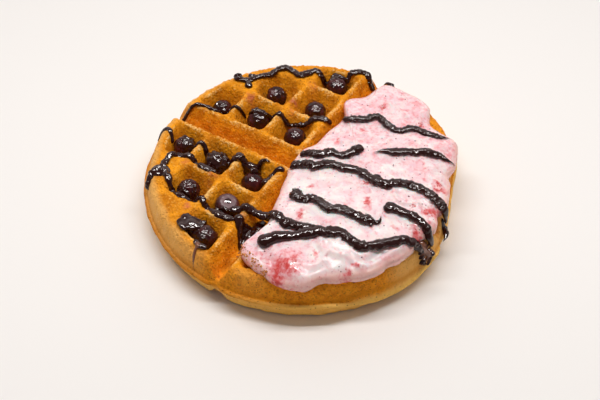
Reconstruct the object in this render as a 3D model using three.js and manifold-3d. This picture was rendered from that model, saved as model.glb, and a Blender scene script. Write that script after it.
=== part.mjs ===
// A round Belgian waffle: four quarters of deep square pockets, berries in the pockets of
// one half, a slab of strawberry cream on the other, and chocolate syrup run over both.
// Millimetres, +Z up. The origin lies under the middle, on the plane the waffle rests on.
// X and Y run along the two straight grooves that part the quarters.
import * as THREE from 'three';
import { mergeVertices } from 'three/addons/utils/BufferGeometryUtils.js';
import Module from 'manifold-3d';

const wasm = await Module();
wasm.setup();

// ---- Driving dimensions -------------------------------------------------------------
const THICKNESS = 28; // underside ridges to top ridges
const EDGE_RADIUS = 93; // at the seam, where the two plates of the iron met
const EDGE_SIDES = 72; // facets round the waffle

// Side of the waffle from the middle of its underside to the middle of its top:
// [radius, height]. The seam stands out as a thin lip between 12 and 14 mm up.
const EDGE_PROFILE = [
  [0, 0], [86.4, 0], [88.4, 1.4], [91.2, 11.4], [EDGE_RADIUS, 12.3], [EDGE_RADIUS, 13.7],
  [91.4, 14.8], [89.6, 20.5], [88.0, 25.2], [85.6, 27.2], [81.5, 27.8], [0, THICKNESS],
];

// The batter fell short of the iron on one side, so the edge runs straight there.
const SHORT_SIDE = { angle: 20, reach: 86.4, corners: 60 };
// The seam's lip droops for a stretch: middle and half width of the stretch, and the drop.
const LIP_DROOP = { angle: -28, width: 24, drop: 5.2 };
const LIP_ROOT = 91; // the profile's points beyond this belong to the lip

const PITCH = 25.5; // pocket to pocket
const GROOVE_TO_RIDGE = 8.5; // middle of a groove to the first ridge
const POCKET_ROWS = 3; // pockets along a groove, one fewer in each row behind it
const RIM_RADIUS = 82.4; // outer wall of the outermost pockets, at the top
const RIM_TAPER = 0.42; // how far that wall leans in per millimetre down

// Half widths of a pocket and of a groove at each depth: [half width, depth].
const POCKET_SECTION = [[12.3, -1.5], [11.6, 0], [10.2, 2.0], [6.0, 12.2], [4.8, 13.5]];
const GROOVE_SECTION = [[7.8, -1.5], [7.0, 0], [5.9, 1.8], [1.9, 10.8], [0.7, 12.0]];
const UNDER_POCKET = [[12.1, -1.5], [11.4, 0], [10.3, 1.6], [7.0, 9.0]];
const UNDER_GROOVE = [[7.5, -1.5], [6.8, 0], [5.8, 1.6], [2.6, 7.5]];
const POCKET_SIDES = 12;
const CORNER_CUT = 0.87; // a rounded corner's reach, as a share of a sharp one's

// ---- Berries: [along X, along Y, height of the middle, radius, height over width] --------
const BERRIES = [
  [-47.6, 45.0, 21.6, 6.8, 0.94],
  [-19.9, 70.9, 22.0, 6.9, 0.95],
  [-20.0, 45.6, 22.0, 6.8, 0.95],
  [-18.6, 20.2, 21.8, 6.9, 0.95],
  [-44.6, 20.2, 22.2, 7.1, 0.95],
  [-69.6, 19.0, 21.0, 6.2, 0.92],
  [-70.3, -20.0, 21.7, 6.6, 0.95],
  [-45.8, -21.8, 22.1, 7.0, 0.95],
  [-20.2, -23.0, 21.2, 7.0, 0.86],
  [-47.6, -47.2, 22.0, 6.8, 0.96],
  [-21.6, -46.8, 23.4, 7.4, 0.95],
  [-19.0, -71.2, 22.6, 7.0, 0.95],
];

// ---- Cream -----------------------------------------------------------------------------
const CREAM_MIDDLE = new THREE.Vector2(40, 0);
const CREAM_SIDES = 66;
// Edge of the cream as it lies over one half of the waffle.
const CREAM_OUTLINE = [
  [9, 82], [5, 74], [3, 66], [-4, 59], [-5, 53], [0, 47], [1, 38], [-1, 28], [-2, 15], [-6, 6],
  [-5, -7], [-2, -17], [1, -28], [4.5, -41], [8, -51.5], [7.5, -61], [5, -72], [11, -79.5], [25, -82],
  [35, -83.5], [47, -80], [53, -71], [63, -63], [72, -55], [77.5, -46], [78, -42.5], [82.5, -36],
  [85, -26], [83.5, -19], [86.5, -11], [88.5, -5], [85, 3], [86, 11], [83, 20], [80.5, 27],
  [76, 33], [75.5, 43], [71, 54], [66, 60.5], [56, 62], [48, 64.5], [44, 71], [41, 77], [33, 81],
  [22, 82],
];
// Skirt of the cream from its foot up to where the top begins: [distance in, height].
const CREAM_SKIRT = [
  [16, 13.8], [6, 20], [2.2, 24.6], [0.3, 26.8], [0, 28.8], [1.3, 31.0], [4.5, 33.2], [11, 35.2],
];
const CREAM_WIDEST = 4; // the entry of the skirt that stands out furthest
const CREAM_TOP = [[0.64, 36.4], [0.42, 37.0], [0.2, 37.3]]; // [share of the way out, height]
const CREAM_CROWN = 37.4;
const CREAM_SMOOTHING = Math.PI / 5; // arc over which the lobes fade on the inner rings
// The cream is plumpest where it sags over the rim.
const CREAM_PLUMP = { angle: -50, lift: 1.8 };

// ---- Syrup: { radius, route: [[x, y], ...] } along what it lies on ---------------------
const WAFFLE_SYRUP = [
  { radius: 1.9, route: [[-76, 42], [-70, 40], [-65, 43], [-62, 48], [-58, 53], [-56, 59], [-52, 64],
    [-46, 63], [-42, 62], [-38, 66], [-35, 71], [-30, 71], [-24, 75], [-18, 77], [-15, 82], [-10, 86],
    [-5, 85], [-1, 85]] },
  { radius: 1.4, route: [[-87, 0], [-85, 4], [-81, 8], [-76, 9.5], [-70, 10], [-66, 12], [-63, 17],
    [-59, 19], [-54, 21]] },
  { radius: 2.0, route: [[-52, 21], [-47, 21], [-42, 22], [-38, 26], [-34, 27], [-29, 28], [-22, 30],
    [-17, 31], [-14, 34], [-9, 37], [-5, 39]] },
  { radius: 1.6, route: [[-67, 42], [-64, 39], [-62, 36]] },
  { radius: 1.2, route: [[-88, -24], [-86, -21], [-82, -20], [-78, -22], [-76, -25]] },
  { radius: 1.6, route: [[-66, -19], [-63, -18], [-60, -18], [-56, -19], [-52, -20]] },
  { radius: 2.1, route: [[-44, -19], [-39, -19], [-35, -18.5], [-32, -15.5], [-29, -14], [-26, -13.5],
    [-24, -11], [-20, -9.8], [-17, -9.5]] },
  { radius: 1.6, route: [[-17, -17], [-15.5, -14], [-12, -13.5], [-9, -12.5], [-6.5, -11]] },
  { radius: 2.1, route: [[-67, -46], [-68.5, -40], [-68, -35.5], [-65, -32], [-59, -31], [-55, -32],
    [-50, -33.5], [-45, -33.5], [-40, -32], [-37, -29]] },
  { radius: 2.2, route: [[-71.5, -54], [-71, -49], [-66, -48], [-61, -50.5], [-56, -54], [-51, -56],
    [-44, -57], [-38, -55], [-32.5, -54.5], [-28, -55.5], [-22, -57.5], [-16, -58.5], [-11, -58.5]] },
  { radius: 2.0, route: [[-15, -49], [-12, -47.5], [-9, -46.5], [-6, -45], [-3, -42.5]] },
  { radius: 2.0, route: [[-9, -54.5], [-6.5, -55.5], [-4, -57.5], [-2, -59.5]] },
  { radius: 2.6, route: [[-36, -74], [-33, -70], [-29, -70], [-25, -72.5], [-21, -75], [-16, -78],
    [-11, -79.5]] },
  { radius: 1.5, route: [[-32, -67.5], [-28.5, -65.5], [-25, -62]] },
  { radius: 0.9, route: [[-13, -80], [-14.5, -84], [-15, -89], [-14.5, -93]] },
];
// Pools in the low places: centre and half sizes.
const WAFFLE_POOLS = [
  { at: [-27, -14.5, 21.5], size: [5.5, 4.2, 4.5] },
  { at: [-1.5, -55, 17], size: [4.2, 12, 3.2] },
  { at: [-66.5, -47.5, 27.8], size: [6.3, 5.2, 2.1] },
  { at: [-34, -71, 27.9], size: [4.4, 6.0, 1.9] },
  { at: [-28, -72, 22], size: [5.0, 4.5, 6] },
  { at: [-22, -55, 20], size: [7.5, 4.0, 5.5] },
];
const CREAM_SYRUP = [
  { radius: 2.3, route: [[3, 38], [8, 38], [14, 41], [19.5, 47], [25, 46.5], [33, 43], [38, 44],
    [42, 49], [48, 51.5], [55, 53], [60, 54.5], [64, 56.5]] },
  { radius: 2.4, route: [[34, 20], [38.5, 25], [44, 27.5], [50, 31.5], [55, 34.8], [60, 38.5],
    [65, 40], [70, 40], [75, 41.5]] },
  { radius: 2.3, route: [[-3, 1], [3, 2], [8, 2.5], [13, 8], [19, 9.5], [22.5, 14], [25, 18], [28, 17]] },
  { radius: 2.4, route: [[-3.5, -9.5], [4.5, -6], [11, -6.5], [17, 0], [24, 1], [32, 4], [38.5, 2.5],
    [45, 0.5], [53, 2], [58, 6.5], [63, 9.6], [69, 9.9], [75, 9.8], [80, 8.5], [85.5, 8]] },
  { radius: 2.4, route: [[13, -25], [12.5, -29.5], [17, -31], [21, -28], [27, -28.5], [36, -31],
    [42, -28], [49, -27], [55, -25.5], [61, -26.5], [61, -21]] },
  { radius: 2.6, route: [[61, -16], [63, -11.5], [69, -11], [76, -9.5], [82, -10.3], [86.4, -11.8]] },
  { radius: 2.6, route: [[9, -49.5], [15, -51], [21, -51], [27, -48.5], [34, -46.5], [42, -46.5],
    [50, -43], [57, -44], [63, -43], [68, -40], [73, -34], [78, -28.5], [83.7, -23.5]] },
  { radius: 2.7, route: [[18, -70.5], [17, -66.5], [20, -63.5], [25, -59.5], [30, -54.5], [35, -49.5],
    [40, -46.5]] },
];
const SYRUP_SIDES = 6;
const SYRUP_STEP = 4.7; // ring to ring along a strand
const SYRUP_FLATNESS = 0.8; // height over width of a strand
const SYRUP_LIFT = 0.45; // how far its middle lies above the surface, as a share of its radius

const GAP = 0.35; // kept between touching pieces
const SMALLEST_STEP = 0.1; // cuts leave slivers finer than this, which are smoothed away
const WELD = 0.01; // grid on which nearly touching points are brought together

// ---- From three.js geometry to solids ----------------------------------------------------
function solidOf(geometry) {
  const bare = geometry.clone();
  for (const name of ['normal', 'uv']) bare.deleteAttribute(name);
  const merged = mergeVertices(bare, 1e-4);
  const vertProperties = new Float32Array(merged.attributes.position.array);
  const triVerts = [];
  const index = merged.index.array;
  for (let i = 0; i < index.length; i += 3) {
    const [a, b, c] = [index[i], index[i + 1], index[i + 2]];
    if (a !== b && b !== c && c !== a) triVerts.push(a, b, c);
  }
  const mesh = new wasm.Mesh({ numProp: 3, vertProperties, triVerts: new Uint32Array(triVerts) });
  return new wasm.Manifold(mesh);
}

function geometryOf(solid) {
  const { vertProperties, triVerts } = solid.getMesh();
  const geometry = new THREE.BufferGeometry();
  geometry.setAttribute('position', new THREE.BufferAttribute(new Float32Array(vertProperties), 3));
  return geometry.setIndex(new THREE.BufferAttribute(new Uint32Array(triVerts), 1));
}

// A LatheGeometry turns its profile about Y; this stands it up along Z.
function turned(profile, sides, reshape = null) {
  const points = profile.map(([radius, height]) => new THREE.Vector2(radius, height));
  const geometry = new THREE.LatheGeometry(points, sides).rotateX(Math.PI / 2);
  geometry.scale(1, -1, 1);
  flipFaces(geometry);
  if (reshape) reshapeVertices(geometry, reshape);
  return geometry;
}

function flipFaces(geometry) {
  const index = geometry.index.array;
  for (let i = 0; i < index.length; i += 3) [index[i], index[i + 1]] = [index[i + 1], index[i]];
}

function reshapeVertices(geometry, reshape) {
  const position = geometry.attributes.position;
  const point = new THREE.Vector3();
  for (let i = 0; i < position.count; i++) {
    reshape(point.fromBufferAttribute(position, i));
    position.setXYZ(i, point.x, point.y, point.z);
  }
}

const joined = (solids) => solids.reduce((sum, next) => sum.add(next));
const cutAway = (solid, tools) => tools.reduce((rest, tool) => rest.subtract(tool), solid);

// Puts every point on a fine grid, so that points that all but touch become one.
function welded(solid) {
  const geometry = geometryOf(solid.simplify(SMALLEST_STEP));
  reshapeVertices(geometry, (point) => point.divideScalar(WELD).round().multiplyScalar(WELD));
  return solidOf(geometry);
}

// Fusing can leave a loose scrap of syrup or a closed pinhole; only the outer skin of the
// largest body is kept.
function tidied(solid) {
  const bodies = welded(welded(solid)).decompose();
  return bodies.reduce((best, next) => (next.volume() > best.volume() ? next : best));
}

// ---- Waffle ---------------------------------------------------------------------------
// How far out the edge lies in that direction, as a share of the edge's radius.
function edgeShare(x, y) {
  const { angle, reach, corners } = SHORT_SIDE;
  const facing = Math.cos(Math.atan2(y, x) - THREE.MathUtils.degToRad(angle));
  if (facing <= 0) return 1;
  return (1 + ((EDGE_RADIUS * facing) / reach) ** corners) ** (-1 / corners);
}

function drawIn(point) {
  const share = edgeShare(point.x, point.y);
  point.x *= share;
  point.y *= share;
}

// Lets the lip droop on its stretch and draws the edge in on the short side.
function shapeEdge(point) {
  if (Math.hypot(point.x, point.y) > LIP_ROOT) {
    const turn = THREE.MathUtils.radToDeg(Math.atan2(point.y, point.x)) - LIP_DROOP.angle;
    point.z -= LIP_DROOP.drop * Math.max(0, 1 - (turn / LIP_DROOP.width) ** 2) ** 2;
  }
  drawIn(point);
}

// A four-sided funnel with rounded corners, as deep as its section says.
function pocketTool(section, sides, slack) {
  const profile = section.map(([half, depth]) => [Math.max(half - slack, 0.2), -depth + slack]);
  const closed = [[0, profile.at(-1)[1]], ...profile.reverse(), [0, profile.at(-1)[1]]];
  return turned(closed, sides, (point) => {
    const reach = Math.hypot(point.x, point.y);
    if (reach < 1e-6) return;
    const angle = Math.atan2(point.y, point.x) + Math.PI / sides;
    const [c, s] = [Math.cos(angle), Math.sin(angle)];
    const atCorner = Math.abs(Math.abs(c) - Math.abs(s)) < 1e-3;
    const cut = atCorner && sides > 4 ? CORNER_CUT : 1;
    const stretch = (reach * cut) / Math.max(Math.abs(c), Math.abs(s));
    point.x = c * stretch;
    point.y = s * stretch;
  });
}

// A straight trough with the given section, laid along X and centred.
function grooveTool(section, slack) {
  const outline = new THREE.Shape();
  const halves = section.map(([half, depth]) => [Math.max(half - slack, 0.2), -depth + slack]);
  halves.forEach(([half, height], i) => (i ? outline.lineTo(half, height) : outline.moveTo(half, height)));
  [...halves].reverse().forEach(([half, height]) => outline.lineTo(-half, height));
  const length = 2.4 * EDGE_RADIUS;
  const trough = new THREE.ExtrudeGeometry(outline, { depth: length, bevelEnabled: false, steps: 1 });
  return trough.translate(0, 0, -length / 2).rotateX(Math.PI / 2).rotateZ(Math.PI / 2);
}

function pocketCentres() {
  const centres = [];
  for (const [signX, signY] of [[1, 1], [-1, 1], [-1, -1], [1, -1]]) {
    for (let column = 0; column < POCKET_ROWS; column++) {
      for (let row = 0; row < POCKET_ROWS - column; row++) {
        const x = GROOVE_TO_RIDGE + (column + 0.5) * PITCH;
        const y = GROOVE_TO_RIDGE + (row + 0.5) * PITCH;
        centres.push([signX * x, signY * y]);
      }
    }
  }
  return centres;
}

// Everything the iron's studs press out of one side. slack shrinks the studs.
function studs(pocketSection, grooveSection, sides, slack) {
  const pocket = pocketTool(pocketSection, sides, slack);
  const pockets = joined(pocketCentres().map(([x, y]) => solidOf(pocket.clone().translate(x, y, 0))));
  const depth = pocketSection.at(-1)[1] + 1;
  const rim = RIM_RADIUS - slack;
  const above = 2; // how far the tools stand out of the waffle
  const [lowRim, highRim] = [rim - RIM_TAPER * depth, rim + RIM_TAPER * above];
  const wallProfile = [[0, -depth], [lowRim, -depth], [highRim, above], [0, above]];
  const wall = turned(wallProfile, EDGE_SIDES, drawIn);
  const groove = grooveTool(grooveSection, slack);
  const grooves = [solidOf(groove), solidOf(groove.clone().rotateZ(Math.PI / 2))];
  return joined([pockets.intersect(solidOf(wall)), ...grooves]);
}

function waffleSolid(slack) {
  const profile = EDGE_PROFILE.map(([radius, height]) => [
    radius > 0 ? radius + slack : 0,
    height > EDGE_PROFILE[4][1] ? height + slack : height - slack,
  ]);
  const slab = solidOf(turned(profile, EDGE_SIDES, shapeEdge));
  const top = studs(POCKET_SECTION, GROOVE_SECTION, POCKET_SIDES, slack).translate([0, 0, THICKNESS]);
  if (slack > 0) return slab.subtract(top);
  const under = studs(UNDER_POCKET, UNDER_GROOVE, 4, slack).rotate([180, 0, 0]);
  return cutAway(slab, [top, under]);
}

// ---- Surfaces that the syrup follows -------------------------------------------------------
function depthInSection(section, reach) {
  for (let i = section.length - 1; i > 0; i--) {
    const [[outer, shallow], [inner, deep]] = [section[i - 1], section[i]];
    if (reach <= inner) return deep;
    if (reach < outer) return shallow + ((outer - reach) / (outer - inner)) * (deep - shallow);
  }
  return 0;
}

function waffleTop(x, y) {
  const radius = Math.hypot(x, y) / edgeShare(x, y);
  let height = 0;
  for (let i = EDGE_PROFILE.length - 1; i > 5; i--) {
    const [[outer, low], [inner, high]] = [EDGE_PROFILE[i - 1], EDGE_PROFILE[i]];
    if (radius < inner || radius > outer) continue;
    height = low + ((outer - radius) / (outer - inner)) * (high - low);
  }
  if (radius > EDGE_RADIUS) height = EDGE_PROFILE[4][1];
  const toGroove = Math.min(Math.abs(x), Math.abs(y));
  let depth = depthInSection(GROOVE_SECTION, toGroove);
  for (const [px, py] of pocketCentres()) {
    const reach = Math.max(Math.abs(x - px), Math.abs(y - py));
    const inPocket = depthInSection(POCKET_SECTION, reach);
    const atRim = Math.max(0, (RIM_RADIUS - radius) / RIM_TAPER);
    depth = Math.max(depth, Math.min(inPocket, atRim));
  }
  return Math.min(height, THICKNESS - depth);
}

function berryTop(x, y) {
  let height = 0;
  for (const [bx, by, bz, radius, squash] of BERRIES) {
    const rise = radius ** 2 - (x - bx) ** 2 - (y - by) ** 2;
    if (rise > 0) height = Math.max(height, bz + Math.sqrt(rise) * squash + GAP);
  }
  return height;
}

const creamEdge = new THREE.CatmullRomCurve3(
  CREAM_OUTLINE.map(([x, y]) => new THREE.Vector3(x, y, 0)), true, 'centripetal').getPoints(480);

// Where the edge of the cream is, as seen from its middle.
function creamReach(angle) {
  let best = 0;
  for (let i = 0; i < creamEdge.length - 1; i++) {
    const [a, b] = [creamEdge[i], creamEdge[i + 1]];
    const [ax, ay] = [a.x - CREAM_MIDDLE.x, a.y - CREAM_MIDDLE.y];
    const [bx, by] = [b.x - CREAM_MIDDLE.x, b.y - CREAM_MIDDLE.y];
    const [dx, dy] = [Math.cos(angle), Math.sin(angle)];
    const [sideA, sideB] = [dx * ay - dy * ax, dx * by - dy * bx];
    if (sideA * sideB > 0 || sideA === sideB) continue;
    const t = sideA / (sideA - sideB);
    best = Math.max(best, dx * (ax + t * (bx - ax)) + dy * (ay + t * (by - ay)));
  }
  return best;
}

// The same, averaged over an arc, so that the lobes of the edge don't run inwards.
function smoothReach(angle) {
  const samples = 9;
  let sum = 0;
  for (let i = 0; i < samples; i++) sum += creamReach(angle + CREAM_SMOOTHING * (i / (samples - 1) - 0.5));
  return sum / samples;
}

function plumpness(angle) {
  return CREAM_PLUMP.lift * Math.max(0, Math.cos(angle - THREE.MathUtils.degToRad(CREAM_PLUMP.angle)));
}

// Soft swells and hollows left by the spoon.
function creamSwell(x, y) {
  return 1.0 * Math.sin(x / 7.5 + 1.3 * Math.sin(y / 11)) * Math.cos(y / 8.5 - 0.6)
    + 0.5 * Math.sin((x + y) / 6.5 + 0.8);
}

function creamTop(x, y) {
  const [dx, dy] = [x - CREAM_MIDDLE.x, y - CREAM_MIDDLE.y];
  const out = Math.hypot(dx, dy);
  const angle = Math.atan2(dy, dx);
  const reach = creamReach(angle);
  const inset = reach - out;
  if (inset < 0) return 0;
  const [edgeInset, edgeHeight] = CREAM_SKIRT.at(-1);
  const lumps = plumpness(angle) * Math.min(1, out / 40) + swellShare(inset) * creamSwell(x, y);
  const skirt = CREAM_SKIRT.slice(CREAM_WIDEST);
  for (let i = 0; i < skirt.length - 1; i++) {
    const [[near, low], [far, high]] = [skirt[i], skirt[i + 1]];
    if (inset <= far) return low + ((inset - near) / (far - near)) * (high - low) + lumps;
  }
  const share = (inset - edgeInset) / (reach - edgeInset);
  return edgeHeight + (CREAM_CROWN - edgeHeight) * Math.sqrt(share) + lumps;
}

// The swell fades out towards the edge.
const swellShare = (inset) => THREE.MathUtils.smoothstep(inset, 1, 8);

// ---- Cream ------------------------------------------------------------------------------
function creamHeap(slack) {
  const foot = CREAM_SKIRT[0][1];
  const top = CREAM_TOP.map(([share, height]) => [-share, height]);
  const rings = [[null, foot], ...CREAM_SKIRT, ...top, [null, CREAM_CROWN]];
  // The rings are numbered along the lathe's profile and put in their places afterwards.
  const profile = rings.map(([place], i) => [place === null ? 0 : 1, i]);
  const heap = turned(profile, CREAM_SIDES, (point) => {
    const [place, height] = rings[Math.round(point.z)];
    const angle = Math.atan2(point.y, point.x);
    const reach = creamReach(angle);
    let out = 0;
    if (place < 0) out = slack - place * smoothReach(angle);
    else if (place !== null) out = slack + reach - Math.min(place, reach * 0.6);
    point.x = CREAM_MIDDLE.x + Math.cos(angle) * out;
    point.y = CREAM_MIDDLE.y + Math.sin(angle) * out;
    const above = height >= CREAM_SKIRT[CREAM_WIDEST][1];
    const swell = swellShare(reach - out) * creamSwell(point.x, point.y);
    const lumps = above ? swell + plumpness(angle) * Math.min(1, out / 40) : 0;
    point.z = height + lumps + (above ? slack : -slack);
  });
  return solidOf(heap);
}

// ---- Syrup ------------------------------------------------------------------------------
// Lays a route on the surface and lets it sag smoothly from high place to high place.
function laidRoute(route, surface, lift) {
  const stops = route.map(([x, y]) => new THREE.Vector3(x, y, 0));
  const flat = new THREE.CatmullRomCurve3(stops, false, 'centripetal');
  const count = Math.max(4, Math.round(flat.getLength() / 1.2));
  const points = flat.getSpacedPoints(count);
  for (const point of points) point.z = surface(point.x, point.y) + lift;
  for (let pass = 0; pass < 5; pass++) {
    const before = points.map((point) => point.z);
    for (let i = 1; i < points.length - 1; i++) {
      points[i].z = (before[i - 1] + 2 * before[i] + before[i + 1]) / 4;
    }
  }
  const kept = points.filter((_, i) => i % 2 === 0 || i === points.length - 1);
  return new THREE.CatmullRomCurve3(kept, false, 'centripetal');
}

// A strand with tapered ends, bent along its route.
function strand({ radius, route }, surface, slack) {
  const curve = laidRoute(route, surface, radius * SYRUP_LIFT);
  const length = curve.getLength();
  const rings = Math.max(3, Math.round(length / SYRUP_STEP));
  const profile = [[0, 0]];
  for (let i = 0; i <= rings; i++) {
    const end = i === 0 || i === rings;
    profile.push([(end ? 0.55 : 1) * radius + slack, (i / rings) * length]);
  }
  profile.push([0, length]);
  const up = new THREE.Vector3(0, 0, 1);
  const geometry = turned(profile, SYRUP_SIDES, (point) => {
    const t = THREE.MathUtils.clamp(point.z / length, 0, 1);
    const tangent = curve.getTangentAt(t);
    const side = new THREE.Vector3().crossVectors(up, tangent).normalize();
    const rise = new THREE.Vector3().crossVectors(tangent, side).normalize();
    const overrun = (t === 0 ? -1 : t === 1 ? 1 : 0) * slack;
    const place = curve.getPointAt(t).addScaledVector(tangent, overrun);
    const [across, above] = [point.x, point.y * SYRUP_FLATNESS];
    point.copy(place).addScaledVector(side, across).addScaledVector(rise, above);
  });
  return solidOf(geometry);
}

function pool({ at, size }) {
  const drop = new THREE.SphereGeometry(1, 10, 6).scale(...size).translate(...at);
  return solidOf(drop);
}

function berrySolid([x, y, z, radius, squash], slack) {
  const berry = new THREE.SphereGeometry(radius + slack, 10, 6).rotateX(Math.PI / 2);
  berry.scale(1, 1, squash).translate(x, y, z);
  return solidOf(berry);
}

// ---- Assembly ---------------------------------------------------------------------------
const berriesWithGap = joined(BERRIES.map((berry) => berrySolid(berry, GAP + 0.1)));
const waffleSurface = (x, y) => Math.max(waffleTop(x, y), berryTop(x, y));

const creamStrands = joined(CREAM_SYRUP.map((line) => strand(line, creamTop, 0)));
const creamStrandsWithGap = joined(CREAM_SYRUP.map((line) => strand(line, creamTop, GAP)));
const waffleWithGap = waffleSolid(GAP);

const waffleStrands = joined([
  ...WAFFLE_SYRUP.map((line) => strand(line, waffleSurface, 0)),
  ...WAFFLE_POOLS.map(pool),
]);
const looseSyrup = cutAway(waffleStrands, [creamHeap(GAP), creamStrandsWithGap]);
const waffle = tidied(waffleSolid(0).add(looseSyrup).subtract(berriesWithGap));
const cream = tidied(creamHeap(0).add(creamStrands).subtract(waffleWithGap));

const FINISHES = {
  waffle: { color: 0xc8812b, roughness: 0.75 },
  cream: { color: 0xf3cfd3, roughness: 0.45 },
  berry: { color: 0x2b1a2c, roughness: 0.3 },
};

function namedMesh(name, solid, finish) {
  const geometry = geometryOf(solid);
  geometry.computeVertexNormals();
  const mesh = new THREE.Mesh(geometry, new THREE.MeshStandardMaterial({ ...finish, metalness: 0 }));
  mesh.name = name;
  return mesh;
}

const dessert = new THREE.Group();
dessert.add(namedMesh('waffle', waffle, FINISHES.waffle));
dessert.add(namedMesh('cream', cream, FINISHES.cream));
BERRIES.forEach((berry, i) => {
  const name = `berry_${String(i + 1).padStart(2, '0')}`;
  dessert.add(namedMesh(name, berrySolid(berry, 0), FINISHES.berry));
});

export default dessert;
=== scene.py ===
"""Looks of a round Belgian waffle with berries, strawberry cream and chocolate syrup.

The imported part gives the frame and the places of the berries.  This script builds the crust, the
cream, the syrup, the berries, the fruit and the crumbs as fine meshes in the place of its solids.
Lengths are in millimetres until a mesh is made, and MM then turns them to metres.
"""

import itertools
import logging
import math
from collections import Counter
from collections.abc import Callable
from dataclasses import dataclass, field
from enum import Enum

import bmesh
import bpy
import numpy as np
from mathutils import Matrix, Vector

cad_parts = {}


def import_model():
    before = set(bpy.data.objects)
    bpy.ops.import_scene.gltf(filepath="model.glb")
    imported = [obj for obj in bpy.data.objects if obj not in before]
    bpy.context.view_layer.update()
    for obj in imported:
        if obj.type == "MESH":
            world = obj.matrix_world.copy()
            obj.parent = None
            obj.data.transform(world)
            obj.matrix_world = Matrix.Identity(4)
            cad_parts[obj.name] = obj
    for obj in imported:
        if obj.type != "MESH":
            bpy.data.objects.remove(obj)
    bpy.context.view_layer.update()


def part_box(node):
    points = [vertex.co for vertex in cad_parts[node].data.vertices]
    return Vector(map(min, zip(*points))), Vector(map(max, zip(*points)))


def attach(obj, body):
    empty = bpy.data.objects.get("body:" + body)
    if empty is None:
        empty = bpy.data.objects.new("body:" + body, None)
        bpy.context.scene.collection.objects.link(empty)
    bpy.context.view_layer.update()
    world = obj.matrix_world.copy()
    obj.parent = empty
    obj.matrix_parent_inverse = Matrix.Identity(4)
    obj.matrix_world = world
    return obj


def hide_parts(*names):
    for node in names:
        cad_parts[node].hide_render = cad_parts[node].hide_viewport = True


MM = 0.001
BODY = "root"
LOG = logging.getLogger("waffle")
# Straight parts between two knots of a curve, before it is evened out.
CURVE_PARTS = 24

# Points (x, y) of a line or an outline on the waffle.
Route = list[tuple[float, float]]
# Pairs (distance, depth or height) of a profile.
Section = list[tuple[float, float]]
# Corners of each face, as point numbers.
Faces = list[tuple[int, ...]]
# Gives the height of a surface at places x, y.
HeightAt = Callable[[np.ndarray, np.ndarray], np.ndarray]


# ---- Numbers and fields ----


def smooth_step(value: np.ndarray, low: float, high: float) -> np.ndarray:
    """Runs smoothly from 0 at low to 1 at high."""
    share = np.clip((value - low) / (high - low), 0.0, 1.0)
    return share * share * (3.0 - 2.0 * share)


def in_section(reach: np.ndarray, section: Section) -> np.ndarray:
    """Looks up a section's depth.

    Args:
        reach: distances from the section's middle.
        section: (half width, depth) pairs, widest first.

    Returns:
        The depth at each distance, 0 outside the section.
    """
    halves = [half for half, _ in reversed(section)]
    depths = [depth for _, depth in reversed(section)]
    return np.interp(reach, halves, depths, right=0.0)


@dataclass(frozen=True)
class Unevenness:
    """A smooth random field that is the same on each run.

    Its swells are as wide as width and as high as height, in the points' own unit.  Each further
    layer is half as wide and half as high.
    """

    seed: int
    width: float
    height: float = 1.0
    layers: int = 1
    lattice: int = 32
    layer_shift: float = 11.7

    def at(self, places: np.ndarray) -> np.ndarray:
        """Reads the field.

        Args:
            places: an array of points, one a row.

        Returns:
            One height for each point.
        """
        knots = np.random.default_rng(self.seed).uniform(-1.0, 1.0, (self.lattice,) * 3)
        total = np.zeros(len(places))
        for layer in range(self.layers):
            spot = places / self.width * 2**layer + self.layer_shift * layer
            low = np.floor(spot).astype(int)
            share = spot - low
            share = share * share * (3.0 - 2.0 * share)
            for corner in itertools.product((0, 1), repeat=3):
                weight = np.prod(np.where(corner, share, 1.0 - share), axis=1)
                i, j, k = ((low + corner) % self.lattice).T
                total += 0.5**layer * weight * knots[i, j, k]
        return self.height * total


def flat_places(x: np.ndarray, y: np.ndarray) -> np.ndarray:
    """The points (x, y, 0), one a row."""
    return np.stack([x.ravel(), y.ravel(), np.zeros(x.size)], axis=1)


@dataclass
class HeightMap:
    """Heights over a square of the plane, read between its points."""

    values: np.ndarray
    half: float
    step: float

    @staticmethod
    def spots(half: float, step: float) -> tuple[np.ndarray, np.ndarray]:
        """The map's points, as two square arrays of x and y."""
        line = np.arange(-half, half + step / 2, step)
        return np.meshgrid(line, line, indexing="ij")

    def blurred(self, width: float) -> "HeightMap":
        """Rounds the map's edges.

        Args:
            width: about how far an edge spreads.

        Returns:
            A new map of the same size.
        """
        taps = math.ceil(2.5 * width / self.step)
        weights = np.exp(-0.5 * (np.arange(-taps, taps + 1) * self.step / width) ** 2)
        weights /= weights.sum()
        soft = self.values
        for axis in (0, 1):
            count = soft.shape[axis]
            rims = [(taps, taps) if side == axis else (0, 0) for side in (0, 1)]
            padded = np.pad(soft, rims, mode="edge")
            parts = (
                weight * padded.take(range(i, i + count), axis)
                for i, weight in enumerate(weights)
            )
            soft = sum(parts)
        return HeightMap(soft, self.half, self.step)

    def at(self, x: np.ndarray, y: np.ndarray) -> np.ndarray:
        """Reads the map between its points.

        Args:
            x: places along one side.
            y: places along the other side.

        Returns:
            The height at each place.
        """
        last = self.values.shape[0] - 1.001
        u = np.clip((x + self.half) / self.step, 0, last)
        v = np.clip((y + self.half) / self.step, 0, last)
        i, j = u.astype(int), v.astype(int)
        s, t = u - i, v - j
        near = self.values[i, j] * (1 - s) + self.values[i + 1, j] * s
        far = self.values[i, j + 1] * (1 - s) + self.values[i + 1, j + 1] * s
        return near * (1 - t) + far * t


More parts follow.
